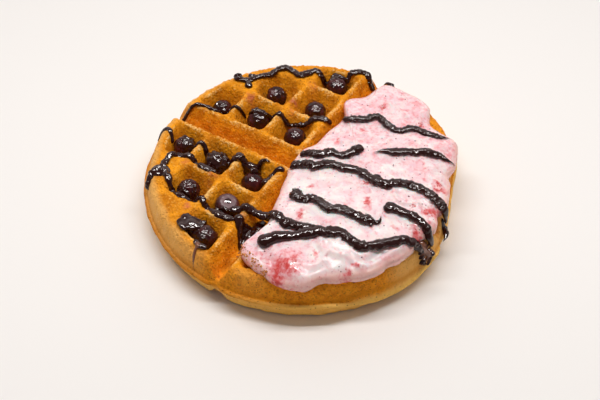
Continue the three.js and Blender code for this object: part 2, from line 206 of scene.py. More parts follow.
def smooth_curve(route: Route, step: float, closed: bool = False) -> np.ndarray:
    """Draws a smooth curve through points.

    Args:
        route: the points.
        step: distance from point to point on the curve.
        closed: whether the curve runs back to its start.

    Returns:
        Evenly spaced points on the curve.
    """
    stops = np.array(route, float)
    if closed:
        knots = np.concatenate([stops[-1:], stops, stops[:2]])
    else:
        knots = np.concatenate([2 * stops[:1] - stops[1:2], stops, 2 * stops[-1:] - stops[-2:-1]])
    fine = []
    share = np.linspace(0, 1, CURVE_PARTS, endpoint=False)[:, None]
    for a, b, c, d in zip(knots, knots[1:], knots[2:], knots[3:]):
        bend = (2 * a - 5 * b + 4 * c - d) * share**2 + (3 * b - a - 3 * c + d) * share**3
        fine.append(0.5 * (2 * b + (c - a) * share + bend))
    fine.append(knots[-2:-1])
    line = np.concatenate(fine)
    run = np.concatenate([[0], np.cumsum(np.linalg.norm(np.diff(line, axis=0), axis=1))])
    even = np.linspace(0, run[-1], max(3, round(run[-1] / step) + 1))
    return np.stack([np.interp(even, run, line[:, axis]) for axis in range(line.shape[1])], 1)


# ---- Meshes and pieces ----


def make_piece(name: str, points: np.ndarray, faces: Faces, finish: "Finish") -> bpy.types.Object:
    """Makes a smooth mesh object.

    Args:
        name: the piece's name.
        points: its points in millimetres.
        faces: its faces, as point numbers.
        finish: what it is dressed in.

    Returns:
        The new object, linked to the scene.
    """
    mesh = bpy.data.meshes.new(name)
    mesh.from_pydata((np.asarray(points) * MM).tolist(), [], [list(face) for face in faces])
    form = bmesh.new()
    form.from_mesh(mesh)
    bmesh.ops.recalc_face_normals(form, faces=form.faces)
    form.to_mesh(mesh)
    form.free()
    mesh.shade_smooth()
    piece = bpy.data.objects.new(name, mesh)
    bpy.context.scene.collection.objects.link(piece)
    mesh.materials.append(finish.material())
    return piece


def paint(piece: bpy.types.Object, name: str, values: np.ndarray) -> None:
    """Stores one number for each point, which the finish reads by its name."""
    layer = piece.data.attributes.new(name, "FLOAT", "POINT")
    layer.data.foreach_set("value", np.asarray(values, np.float32))


def place(piece: bpy.types.Object, slot: str, *nodes: str) -> bpy.types.Object:
    """Fixes a piece in the frame.

    Args:
        piece: the finished object.
        slot: the record's material slot; not used.
        nodes: the part's nodes that it stands for.

    Returns:
        The same object.
    """
    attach(piece, BODY)
    if nodes:
        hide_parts(*nodes)
    LOG.info("%s: %d faces", piece.name, len(piece.data.polygons))
    return piece


def ring_faces(first: int, second: int, count: int) -> Faces:
    """Quads between two rings of count points that start at points first and second."""
    turn = [(i, (i + 1) % count) for i in range(count)]
    return [(first + i, first + j, second + j, second + i) for i, j in turn]


def tip_faces(first: int, tip: int, count: int) -> Faces:
    """Triangles between a ring of count points that starts at point first and the point tip."""
    return [(first + i, first + (i + 1) % count, tip) for i in range(count)]


def zipped(inner: list[int], outer: list[int], angles: np.ndarray) -> Faces:
    """Joins two loops that have different numbers of points.

    Args:
        inner: point numbers of one loop, by rising angle.
        outer: point numbers of the other loop, by rising angle.
        angles: the angle of every point, by its number.

    Returns:
        The triangles between the loops.
    """
    # Each loop is gone round once: its steps are taken in the order of the angles they reach.
    steps = []
    for side, loop in enumerate((inner, outer)):
        for i, corner in enumerate(loop[1:] + loop[:1]):
            full_turn = math.tau if i + 1 == len(loop) else 0.0
            steps.append((angles[corner] + full_turn, side, corner))
    here = [inner[0], outer[0]]
    faces = []
    for _, side, corner in sorted(steps):
        faces.append((here[0], here[1], corner))
        here[side] = corner
    return faces


def disc_grid(radius: float, step: float) -> tuple[np.ndarray, Faces, list[int]]:
    """A square grid cut to a disc, with its outermost points drawn on to the circle.

    Args:
        radius: the disc's radius.
        step: the grid's spacing.

    Returns:
        The points (x, y), the faces, and the numbers of the edge's points by rising angle.
    """
    count = math.ceil(radius / step) + 1
    line = np.arange(-count, count + 1) * step
    x, y = np.meshgrid(line, line, indexing="ij")
    reach = np.hypot(x, y)
    rim = np.abs(reach - radius) < step / 2
    inside = (reach < radius) | rim
    pull = np.where(rim, radius / np.maximum(reach, 1e-9), 1.0)
    grid = np.stack([(x * pull).ravel(), (y * pull).ravel()], 1)
    number = np.arange(x.size).reshape(x.shape)
    cells = np.stack([number[:-1, :-1], number[1:, :-1], number[1:, 1:], number[:-1, 1:]], -1)
    cells = cells.reshape(-1, 4)
    kept = inside.ravel()[cells]
    faces = [cell[within] for cell, within in zip(cells, kept) if within.sum() >= 3]
    used = np.unique(np.concatenate(faces))
    renumber = np.full(x.size, -1)
    renumber[used] = np.arange(len(used))
    faces = [tuple(renumber[face].tolist()) for face in faces]
    # An edge of the disc belongs to one face only.
    edges = Counter(frozenset(edge) for face in faces for edge in zip(face, face[1:] + face[:1]))
    border = {corner for edge, times in edges.items() if times == 1 for corner in edge}
    points = grid[used]
    loop = sorted(border, key=lambda corner: math.atan2(points[corner, 1], points[corner, 0]))
    return points, faces, loop


def remeshed(piece: bpy.types.Object, voxel: float, smoothing: int) -> None:
    """Melts a piece's overlapping bodies into one skin.

    Args:
        piece: the object, changed in place.
        voxel: the new mesh's spacing, in millimetres.
        smoothing: how often the new skin is smoothed.
    """
    melt = piece.modifiers.new("melt", "REMESH")
    melt.mode = "VOXEL"
    melt.voxel_size = voxel * MM
    melt.use_smooth_shade = True
    soften = piece.modifiers.new("soften", "SMOOTH")
    soften.iterations = smoothing
    soften.factor = 0.5
    shown = piece.evaluated_get(bpy.context.evaluated_depsgraph_get())
    made = bpy.data.meshes.new_from_object(shown)
    piece.modifiers.clear()
    old, piece.data = piece.data, made
    made.name = piece.name
    bpy.data.meshes.remove(old)
    made.shade_smooth()


def ball(detail: int) -> tuple[np.ndarray, Faces]:
    """Makes a round body for berries, drops and crumbs, which are then pushed out of round.

    Args:
        detail: how often its first twenty faces are subdivided, counted from 1.

    Returns:
        Points at a distance of 1 from its middle, and its faces.
    """
    form = bmesh.new()
    bmesh.ops.create_icosphere(form, subdivisions=detail, radius=1.0)
    points = np.array([vertex.co for vertex in form.verts])
    faces = [tuple(vertex.index for vertex in face.verts) for face in form.faces]
    form.free()
    return points, faces


@dataclass
class Heap:
    """Gathers the points and faces of many small bodies into one piece."""

    points: list[np.ndarray] = field(default_factory=list)
    faces: Faces = field(default_factory=list)
    count: int = 0

    def add(self, points: np.ndarray, faces: Faces) -> None:
        """Adds one body.

        Args:
            points: its points.
            faces: its faces, by its own point numbers.
        """
        self.points.append(points)
        self.faces.extend(tuple(corner + self.count for corner in face) for face in faces)
        self.count += len(points)

    def piece(self, name: str, finish: "Finish") -> bpy.types.Object:
        """The heap as one object."""
        return make_piece(name, np.concatenate(self.points), self.faces, finish)


# ---- Finishes ----


def srgb(code: str) -> tuple[float, float, float, float]:
    """Turns a hex colour to linear light.

    Args:
        code: the sRGB colour, such as "#C8812B".

    Returns:
        Red, green, blue and full opacity.
    """
    parts = [int(code[i : i + 2], 16) / 255 for i in (1, 3, 5)]
    linear = [part / 12.92 if part <= 0.04045 else ((part + 0.055) / 1.055) ** 2.4 for part in parts]
    return (*linear, 1.0)


def add_node(tree: bpy.types.NodeTree, kind: str, inputs: dict, **settings: object) -> bpy.types.Node:
    """Adds a node with its settings and links.

    Args:
        tree: the material's node tree.
        kind: the node's type name.
        inputs: for each socket's name or number, a value or the output that feeds it.
        settings: the node's own properties.

    Returns:
        The new node.
    """
    node = tree.nodes.new(kind)
    for name, value in settings.items():
        setattr(node, name, value)
    for socket, value in inputs.items():
        if isinstance(value, bpy.types.NodeSocket):
            tree.links.new(value, node.inputs[socket])
        else:
            node.inputs[socket].default_value = value
    return node


# Numbers of a Mix node's colour sockets, whose names repeat.
MIX_A, MIX_B, MIX_OUT = 6, 7, 2
# A wave texture repeats after this share of its own unit.
WAVE_PERIOD = math.tau / 20


@dataclass(frozen=True)
class Mottle:
    """A soft uneven pattern: its patches' real width, its finer layers and how far it is twisted."""

    width: float
    layers: float = 3.0
    twist: float = 0.0


@dataclass(frozen=True)
class Tint:
    """A colour laid over others: none of it where its pattern is at low, strength of it at high."""

    colour: str | bpy.types.NodeSocket
    pattern: bpy.types.NodeSocket
    low: float = 0.0
    high: float = 1.0
    strength: float = 1.0


@dataclass(frozen=True)
class Finish:
    """What every finish has: a name, and a material made once and shared."""

    name: str = "finish"

    def material(self) -> bpy.types.Material:
        """Makes the finish's material on first use.

        Returns:
            The material that all pieces with this finish share.
        """
        made = bpy.data.materials.get(self.name)
        if made is None:
            made = bpy.data.materials.new(self.name)
            made.use_nodes = True
            made.node_tree.nodes.clear()
            shader = self.surface(made.node_tree)
            add_node(made.node_tree, "ShaderNodeOutputMaterial", {"Surface": shader.outputs[0]})
        return made

    def surface(self, tree: bpy.types.NodeTree) -> bpy.types.Node:
        """The shader of the finish, which each kind of finish makes in its own way."""
        return add_node(tree, "ShaderNodeBsdfPrincipled", {})

    @staticmethod
    def scale_for(width: float) -> float:
        """A texture's scale for patches that many millimetres wide."""
        return 1.0 / (width * MM)

    @classmethod
    def mottled(cls, tree: bpy.types.NodeTree, *mottles: Mottle) -> list[bpy.types.NodeSocket]:
        """Lays soft uneven patterns on the piece.

        Args:
            tree: the material's node tree.
            mottles: the patterns.

        Returns:
            The strength of each pattern, 0.5 on average.
        """
        on_piece = add_node(tree, "ShaderNodeTexCoord", {}).outputs["Object"]
        strengths = []
        for mottle in mottles:
            inputs = {
                "Vector": on_piece,
                "Scale": cls.scale_for(mottle.width),
                "Detail": mottle.layers,
                "Distortion": mottle.twist,
            }
            strengths.append(add_node(tree, "ShaderNodeTexNoise", inputs).outputs["Fac"])
        return strengths

    @staticmethod
    def mixture(
        tree: bpy.types.NodeTree,
        first: bpy.types.NodeSocket,
        *others: tuple[bpy.types.NodeSocket, float],
    ) -> bpy.types.NodeSocket:
        """Adds patterns up.

        Args:
            tree: the material's node tree.
            first: the pattern that counts in full.
            others: each further pattern, and how much it counts.

        Returns:
            The strength of the mixture.
        """
        total = first
        for pattern, share in others:
            inputs = {0: pattern, 1: share, 2: total}
            total = add_node(tree, "ShaderNodeMath", inputs, operation="MULTIPLY_ADD").outputs[0]
        return total

    @staticmethod
    def tinted(tree: bpy.types.NodeTree, ground: str, tints: list[Tint]) -> bpy.types.NodeSocket:
        """Lays tints over a ground colour, one after the other.

        Args:
            tree: the material's node tree.
            ground: the ground colour.
            tints: the tints, the last of them on top.

        Returns:
            The colour that shows.
        """
        shown = srgb(ground)
        for tint in tints:
            share = add_node(
                tree,
                "ShaderNodeMapRange",
                {
                    "Value": tint.pattern,
                    "From Min": tint.low,
                    "From Max": tint.high,
                    "To Min": 0.0,
                    "To Max": tint.strength,
                },
            ).outputs[0]
            colour = srgb(tint.colour) if isinstance(tint.colour, str) else tint.colour
            inputs = {0: share, MIX_A: shown, MIX_B: colour}
            shown = add_node(tree, "ShaderNodeMix", inputs, data_type="RGBA").outputs[MIX_OUT]
        return shown


@dataclass(frozen=True)
class BakedCrust(Finish):
    """Batter baked in an iron: dry, finely pitted, paler where it baked slower.

    Its crests are painted paler, partly as pale grains and partly as a painted highlight, and
    painted shade darkens the pockets' floors and the crease at the seam.
    """

    name: str = "baked_batter"
    wall: str = "#FFA41A"
    # Deep brown is also the painted shade in the seam's crease.
    deep: str = "#D07B0C"
    # Crust brown is also the painted shade on the pockets' floors.
    crust: str = "#8C4506"
    gold: str = "#FFC052"
    # Paler crests: pale grains, and partly a painted highlight.
    crest: str = "#FFCC78"
    slope: str = "#EA8806"
    tan: str = "#F8BC68"
    straw: str = "#FFC968"
    speck: str = "#83390A"
    blush: str = "#C4505A"
    patch: float = 8.0
    mottle: float = 2.6
    grain: float = 1.2
    relief: float = 0.9
    layer: float = 2.83
    pore_spacing: float = 1.45
    pore_reach: float = 0.36
    pore_depth: float = 0.5
    roughness: float = 0.55
    roughness_spread: float = 0.12

    def surface(self, tree: bpy.types.NodeTree) -> bpy.types.Node:
        """Browning in soft patches, paler crests and outside, and pinholes from steam.

        Args:
            tree: the material's node tree.

        Returns:
            The shader.
        """
        patches, mottles, grains = self.mottled(
            tree, Mottle(self.patch), Mottle(self.mottle, 4.0), Mottle(self.grain)
        )
        crest, sunk, outer, below, tan, blush, lip, flange = (
            add_node(tree, "ShaderNodeAttribute", {}, attribute_name=mark).outputs["Fac"]
            for mark in ("crest", "sunk", "outer", "below", "tan", "blush", "lip", "flange")
        )
        # The crests are painted paler where they stand out: pale grains, and a painted highlight.
        crest_pale_and_lit = self.mixture(tree, grains, (crest, 0.5))
        # Steam left fewer pinholes on the crests, which the iron pressed least.
        pinhole = self.mixture(tree, self.pores(tree), (crest, -0.9), (tan, -0.6))
        outside = [
            Tint(self.wall, mottles, 0.4, 0.65),
            Tint(self.crust, grains, 0.5, 0.32, 0.55),
            Tint(self.tan, self.mixture(tree, tan, (grains, 0.15))),
        ]
        tints = [
            Tint(self.deep, patches, 0.36, 0.64),
            Tint(self.deep, mottles, 0.52, 0.72, 0.7),
            Tint(self.crust, grains, 0.42, 0.28, 0.4),
            Tint(self.gold, grains, 0.54, 0.7, 0.5),
            # Painted shade: the pockets' floors, sunk below the crust round them, are darkened to crust
            # brown.
            Tint(self.crust, sunk),
            Tint(self.crest, crest_pale_and_lit, 0.64, 0.94),
            Tint(self.tinted(tree, self.slope, outside), outer),
            Tint(self.straw, below),
            Tint(self.straw, flange),
            # The lip's brown, with painted shade along the crease at its root.
            Tint(self.deep, lip),
            Tint(self.speck, pinhole, strength=0.7),
            # Berry juice has stained a few spots.
            Tint(self.blush, blush),
        ]
        # Below the seam the batter rose in thin level layers.
        waves = {"Scale": self.scale_for(self.layer) * WAVE_PERIOD, "Distortion": 3.0}
        waves["Vector"] = add_node(tree, "ShaderNodeTexCoord", {}).outputs["Object"]
        layers = add_node(tree, "ShaderNodeTexWave", waves, bands_direction="Z").outputs["Fac"]
        inputs = {0: layers, 1: below}
        layered = add_node(tree, "ShaderNodeMath", inputs, operation="MULTIPLY").outputs[0]
        height = self.mixture(tree, grains, (mottles, 1.2), (layered, 0.25))
        inputs = {"Height": height, "Distance": self.relief * MM, "Strength": 1.0}
        raised = add_node(tree, "ShaderNodeBump", inputs).outputs[0]
        inputs = {
            "Height": pinhole, "Distance": self.pore_depth * MM, "Strength": 0.6, "Normal": raised,
        }
        pitted = add_node(tree, "ShaderNodeBump", inputs, invert=True).outputs[0]
        inputs = {
            "Value": grains,
            "From Min": 0.3,
            "From Max": 0.7,
            "To Min": self.roughness - self.roughness_spread,
            "To Max": self.roughness + self.roughness_spread,
        }
        roughness = add_node(tree, "ShaderNodeMapRange", inputs).outputs[0]
        # The crests are a little glossier than the rest.
        inputs = {"Value": crest_pale_and_lit, "From Min": 0.7, "From Max": 1.1, "To Min": 0.06, "To Max": 0.4}
        shine = add_node(tree, "ShaderNodeMapRange", inputs).outputs[0]
        return add_node(
            tree,
            "ShaderNodeBsdfPrincipled",
            {
                "Base Color": self.tinted(tree, self.wall, tints),
                "Roughness": roughness,
                "IOR": 1.45,
                "Specular IOR Level": shine,
                "Normal": pitted,
            },
        )

    def pores(self, tree: bpy.types.NodeTree) -> bpy.types.NodeSocket:
        """Pinholes that steam left, in some cells of a pattern of cells.

        Args:
            tree: the material's node tree.

        Returns:
            1 inside a pinhole and 0 outside.
        """
        inputs = {
            "Vector": add_node(tree, "ShaderNodeTexCoord", {}).outputs["Object"],
            "Scale": self.scale_for(self.pore_spacing),
            "Randomness": 1.0,
        }
        cells = add_node(tree, "ShaderNodeTexVoronoi", inputs)
        chosen = add_node(tree, "ShaderNodeSeparateColor", {"Color": cells.outputs["Color"]})
        inputs = {
            "Value": chosen.outputs["Red"],
            "From Min": 0.25,
            "From Max": 1.0,
            "To Min": 0.0,
            "To Max": self.pore_reach,
        }
        size = add_node(tree, "ShaderNodeMapRange", inputs).outputs[0]
        inputs = {0: size, 1: cells.outputs["Distance"]}
        inside = add_node(tree, "ShaderNodeMath", inputs, operation="SUBTRACT").outputs[0]
        return add_node(
            tree, "ShaderNodeMapRange", {"Value": inside, "From Min": 0.0, "From Max": 0.1}
        ).outputs[0]


@dataclass(frozen=True)
class CrumbCrust(Finish):
    """Loose bits of baked batter: rougher and more even in colour than the crust."""

    name: str = "baked_crumbs"
    gold: str = "#D98B2E"
    brown: str = "#A85A12"
    spread: float = 2.0
    roughness: float = 0.7

    def surface(self, tree: bpy.types.NodeTree) -> bpy.types.Node:
        """Gold and brown from crumb to crumb.

        Args:
            tree: the material's node tree.

        Returns:
            The shader.
        """
        (browning,) = self.mottled(tree, Mottle(self.spread, 2.0))
        colour = self.tinted(tree, self.gold, [Tint(self.brown, browning, 0.35, 0.65)])
        inputs = {"Base Color": colour, "Roughness": self.roughness}
        return add_node(tree, "ShaderNodeBsdfPrincipled", inputs)


@dataclass(frozen=True)
class WhippedCream(Finish):
    """Strawberry cream: whipped dairy fat, so light goes in and comes back out soft and pink."""

    name: str = "whipped_cream"
    milk: str = "#FFF1EE"
    pink: str = "#F8CED4"
    lilac: str = "#EBC6CD"
    juice: str = "#E87F84"
    pulp: str = "#D83830"
    # Painted warm bounce light at the cream's edge.
    edge_bounce_light: str = "#F2B9AC"
    shred: str = "#A8404E"
    swirl: float = 11.0
    cloud: float = 4.0
    fleck: float = 1.9
    shred_width: float = 1.3
    froth: float = 1.0
    froth_depth: float = 0.2
    roughness: float = 0.2
    wet_roughness: float = 0.12
    gloss: float = 0.2
    wet_gloss: float = 0.5
    scatter: float = 2.5

    def surface(self, tree: bpy.types.NodeTree) -> bpy.types.Node:
        """Milky and pink swirls, flecks of juice, red where crushed fruit shows.

        Args:
            tree: the material's node tree.

        Returns:
            The shader.
        """
        swirls, clouds, flecks, shreds, froth = self.mottled(
            tree,
            Mottle(self.swirl, 3.0, 1.2),
            Mottle(self.cloud, 4.0, 0.6),
            Mottle(self.fleck, 4.0, 0.4),
            Mottle(self.shred_width, 2.0, 0.8),
            Mottle(self.froth),
        )
        fruit, rosy, edge_bounce_light = (
            add_node(tree, "ShaderNodeAttribute", {}, attribute_name=mark).outputs["Fac"]
            for mark in ("fruit", "rosy", "edge_bounce_light")
        )
        # Juice bleeds out of fine pulp, more where the cream is rosy and next to whole bits.
        soaked = self.mixture(tree, flecks, (clouds, 0.35), (rosy, 0.1), (swirls, 0.3), (fruit, 0.55))
        tints = [
            Tint(self.pink, self.mixture(tree, swirls, (clouds, 0.6), (rosy, 0.17)), 0.6, 1.05),
            Tint(self.lilac, clouds, 0.58, 0.78, 0.3),
            # Painted bounce light: the thin edge is tinted warm pink by the crust's light.
            Tint(self.edge_bounce_light, edge_bounce_light),
            Tint(self.juice, soaked, 0.9, 1.24, 0.85),
            Tint(self.pulp, soaked, 1.2, 1.5, 0.85),
            Tint(
                self.shred, self.mixture(tree, shreds, (clouds, 0.3), (rosy, 0.03)), 0.865, 0.93, 0.75
            ),
        ]
        inputs = {"Height": froth, "Distance": self.froth_depth * MM, "Strength": 0.35}
        foam = add_node(tree, "ShaderNodeBump", inputs).outputs[0]
        # Cream is dull, and the fruit in it is wet.
        wet = {"Value": fruit, "From Min": 0.2, "From Max": 0.6}
        inputs = wet | {"To Min": self.roughness, "To Max": self.wet_roughness}
        roughness = add_node(tree, "ShaderNodeMapRange", inputs).outputs[0]
        inputs = wet | {"To Min": self.gloss, "To Max": self.wet_gloss}
        gloss = add_node(tree, "ShaderNodeMapRange", inputs).outputs[0]
        return add_node(
            tree,
            "ShaderNodeBsdfPrincipled",
            {
                "Base Color": self.tinted(tree, self.milk, tints),
                "Roughness": roughness,
                "IOR": 1.45,
                "Specular IOR Level": gloss,
                "Subsurface Weight": 0.6,
                "Subsurface Radius": (1.0, 0.5, 0.42),
                "Subsurface Scale": self.scatter * MM,
                "Normal": foam,
            },
        )


@dataclass(frozen=True)
class ChocolateSyrup(Finish):
    """Thick cocoa syrup: nearly black, and so wet that it mirrors the room in thin lines."""

    name: str = "cocoa_syrup"
    cocoa: str = "#2C0905"
    thin: str = "#80503C"
    ripple: float = 1.7
    ripple_depth: float = 0.3
    roughness: float = 0.07
    gloss: float = 0.5

    def surface(self, tree: bpy.types.NodeTree) -> bpy.types.Node:
        """Black brown, milkier where it is thin, with fine ripples.

        Args:
            tree: the material's node tree.

        Returns:
            The shader.
        """
        (ripples,) = self.mottled(tree, Mottle(self.ripple, 2.0))
        thinness = add_node(tree, "ShaderNodeAttribute", {}, attribute_name="thin").outputs["Fac"]
        inputs = {"Height": ripples, "Distance": self.ripple_depth * MM, "Strength": 0.6}
        rippled = add_node(tree, "ShaderNodeBump", inputs).outputs[0]
        return add_node(
            tree,
            "ShaderNodeBsdfPrincipled",
            {
                "Base Color": self.tinted(tree, self.cocoa, [Tint(self.thin, thinness)]),
                "Roughness": self.roughness,
                "IOR": 1.48,
                "Specular IOR Level": self.gloss,
                "Normal": rippled,
            },
        )


@dataclass(frozen=True)
class BerrySkin(Finish):
    """A thawed berry's skin: dark purple, wrinkled and moist, with a faint bloom."""

    name: str = "thawed_berry"
    skin: str = "#240709"
    flush: str = "#4E181A"
    bloom: str = "#7A4E54"
    patch: float = 4.0
    wrinkle: float = 1.6
    wrinkle_depth: float = 0.5
    roughness: float = 0.07
    bloom_roughness: float = 0.56
    gloss: float = 0.5

    def surface(self, tree: bpy.types.NodeTree) -> bpy.types.Node:
        """Purple in patches, bloom round the dimple, tight wrinkles.

        Args:
            tree: the material's node tree.

        Returns:
            The shader.
        """
        patches, wrinkles = self.mottled(tree, Mottle(self.patch), Mottle(self.wrinkle))
        dimple = add_node(tree, "ShaderNodeAttribute", {}, attribute_name="dimple").outputs["Fac"]
        tints = [Tint(self.flush, patches, 0.35, 0.7), Tint(self.bloom, dimple, strength=0.8)]
        inputs = {"Height": wrinkles, "Distance": self.wrinkle_depth * MM, "Strength": 0.55}
        creased = add_node(tree, "ShaderNodeBump", inputs).outputs[0]
        # The bloom is a dry wax.
        inputs = {
            "Value": dimple,
            "From Min": 0.15,
            "From Max": 0.7,
            "To Min": self.roughness,
            "To Max": self.bloom_roughness,
        }
        roughness = add_node(tree, "ShaderNodeMapRange", inputs).outputs[0]
        return add_node(
            tree,
            "ShaderNodeBsdfPrincipled",
            {
                "Base Color": self.tinted(tree, self.skin, tints),
                "Roughness": roughness,
                "IOR": 1.42,
                "Specular IOR Level": self.gloss,
                "Normal": creased,
            },
        )


@dataclass(frozen=True)
class CrushedStrawberry(Finish):
    """Wet strawberry pulp: clear red flesh that glows where it is thin."""

    name: str = "strawberry_pulp"
    flesh: str = "#CC3028"
    light: str = "#E8766A"
    fibre: float = 1.4
    fibre_depth: float = 0.2
    roughness: float = 0.22
    scatter: float = 1.0

    def surface(self, tree: bpy.types.NodeTree) -> bpy.types.Node:
        """Deep and light red in small patches, with a wet skin.

        Args:
            tree: the material's node tree.

        Returns:
            The shader.
        """
        (fibres,) = self.mottled(tree, Mottle(self.fibre))
        inputs = {"Height": fibres, "Distance": self.fibre_depth * MM, "Strength": 0.6}
        rough = add_node(tree, "ShaderNodeBump", inputs).outputs[0]
        return add_node(
            tree,
            "ShaderNodeBsdfPrincipled",
            {
                "Base Color": self.tinted(tree, self.flesh, [Tint(self.light, fibres, 0.35, 0.65)]),
                "Roughness": self.roughness,
                "IOR": 1.4,
                "Subsurface Weight": 0.3,
                "Subsurface Radius": (1.0, 0.25, 0.2),
                "Subsurface Scale": self.scatter * MM,
                "Normal": rough,
            },
        )


@dataclass(frozen=True)
class FruitSeed(Finish):
    """A seed or a shred of skin in the cream: a dull dark speck."""

    name: str = "fruit_seed"
    husk: str = "#6B2A35"
    pale_husk: str = "#A8545C"
    spread: float = 12.0
    roughness: float = 0.45

    def surface(self, tree: bpy.types.NodeTree) -> bpy.types.Node:
        """Dark red brown, lighter from speck to speck.

        Args:
            tree: the material's node tree.

        Returns:
            The shader.
        """
        (paleness,) = self.mottled(tree, Mottle(self.spread, 2.0))
        colour = self.tinted(tree, self.husk, [Tint(self.pale_husk, paleness, 0.35, 0.65)])
        inputs = {"Base Color": colour, "Roughness": self.roughness}
        return add_node(tree, "ShaderNodeBsdfPrincipled", inputs)


@dataclass(frozen=True)
class PaleTable(Finish):
    """A matt painted table top, plain and warm white."""

    name: str = "painted_table"
    paint: str = "#F3F0ED"
    roughness: float = 0.8

    def surface(self, tree: bpy.types.NodeTree) -> bpy.types.Node:
        """Flat warm white, the same all over."""
        inputs = {"Base Color": srgb(self.paint), "Roughness": self.roughness}
        return add_node(tree, "ShaderNodeBsdfPrincipled", inputs)


# ---- Berries in the frame ----


def berry_node(number: int) -> str:
    """The name of a berry's node in the part."""
    return f"berry_{number:02d}"


def middle_and_half(node: str) -> tuple[np.ndarray, np.ndarray]:
    """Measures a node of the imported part.

    Args:
        node: its name.

    Returns:
        The middle and the half size of its box, in millimetres.
    """
    low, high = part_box(node)
    return np.array((low + high) / 2) / MM, np.array((high - low) / 2) / MM


def direction(turn: float, tilt: float) -> np.ndarray:
    """The direction at those degrees round from +X and up from the table."""
    round_z, up = math.radians(turn), math.radians(tilt)
    return np.array([math.cos(up) * math.cos(round_z), math.cos(up) * math.sin(round_z), math.sin(up)])


# ---- Waffle ----


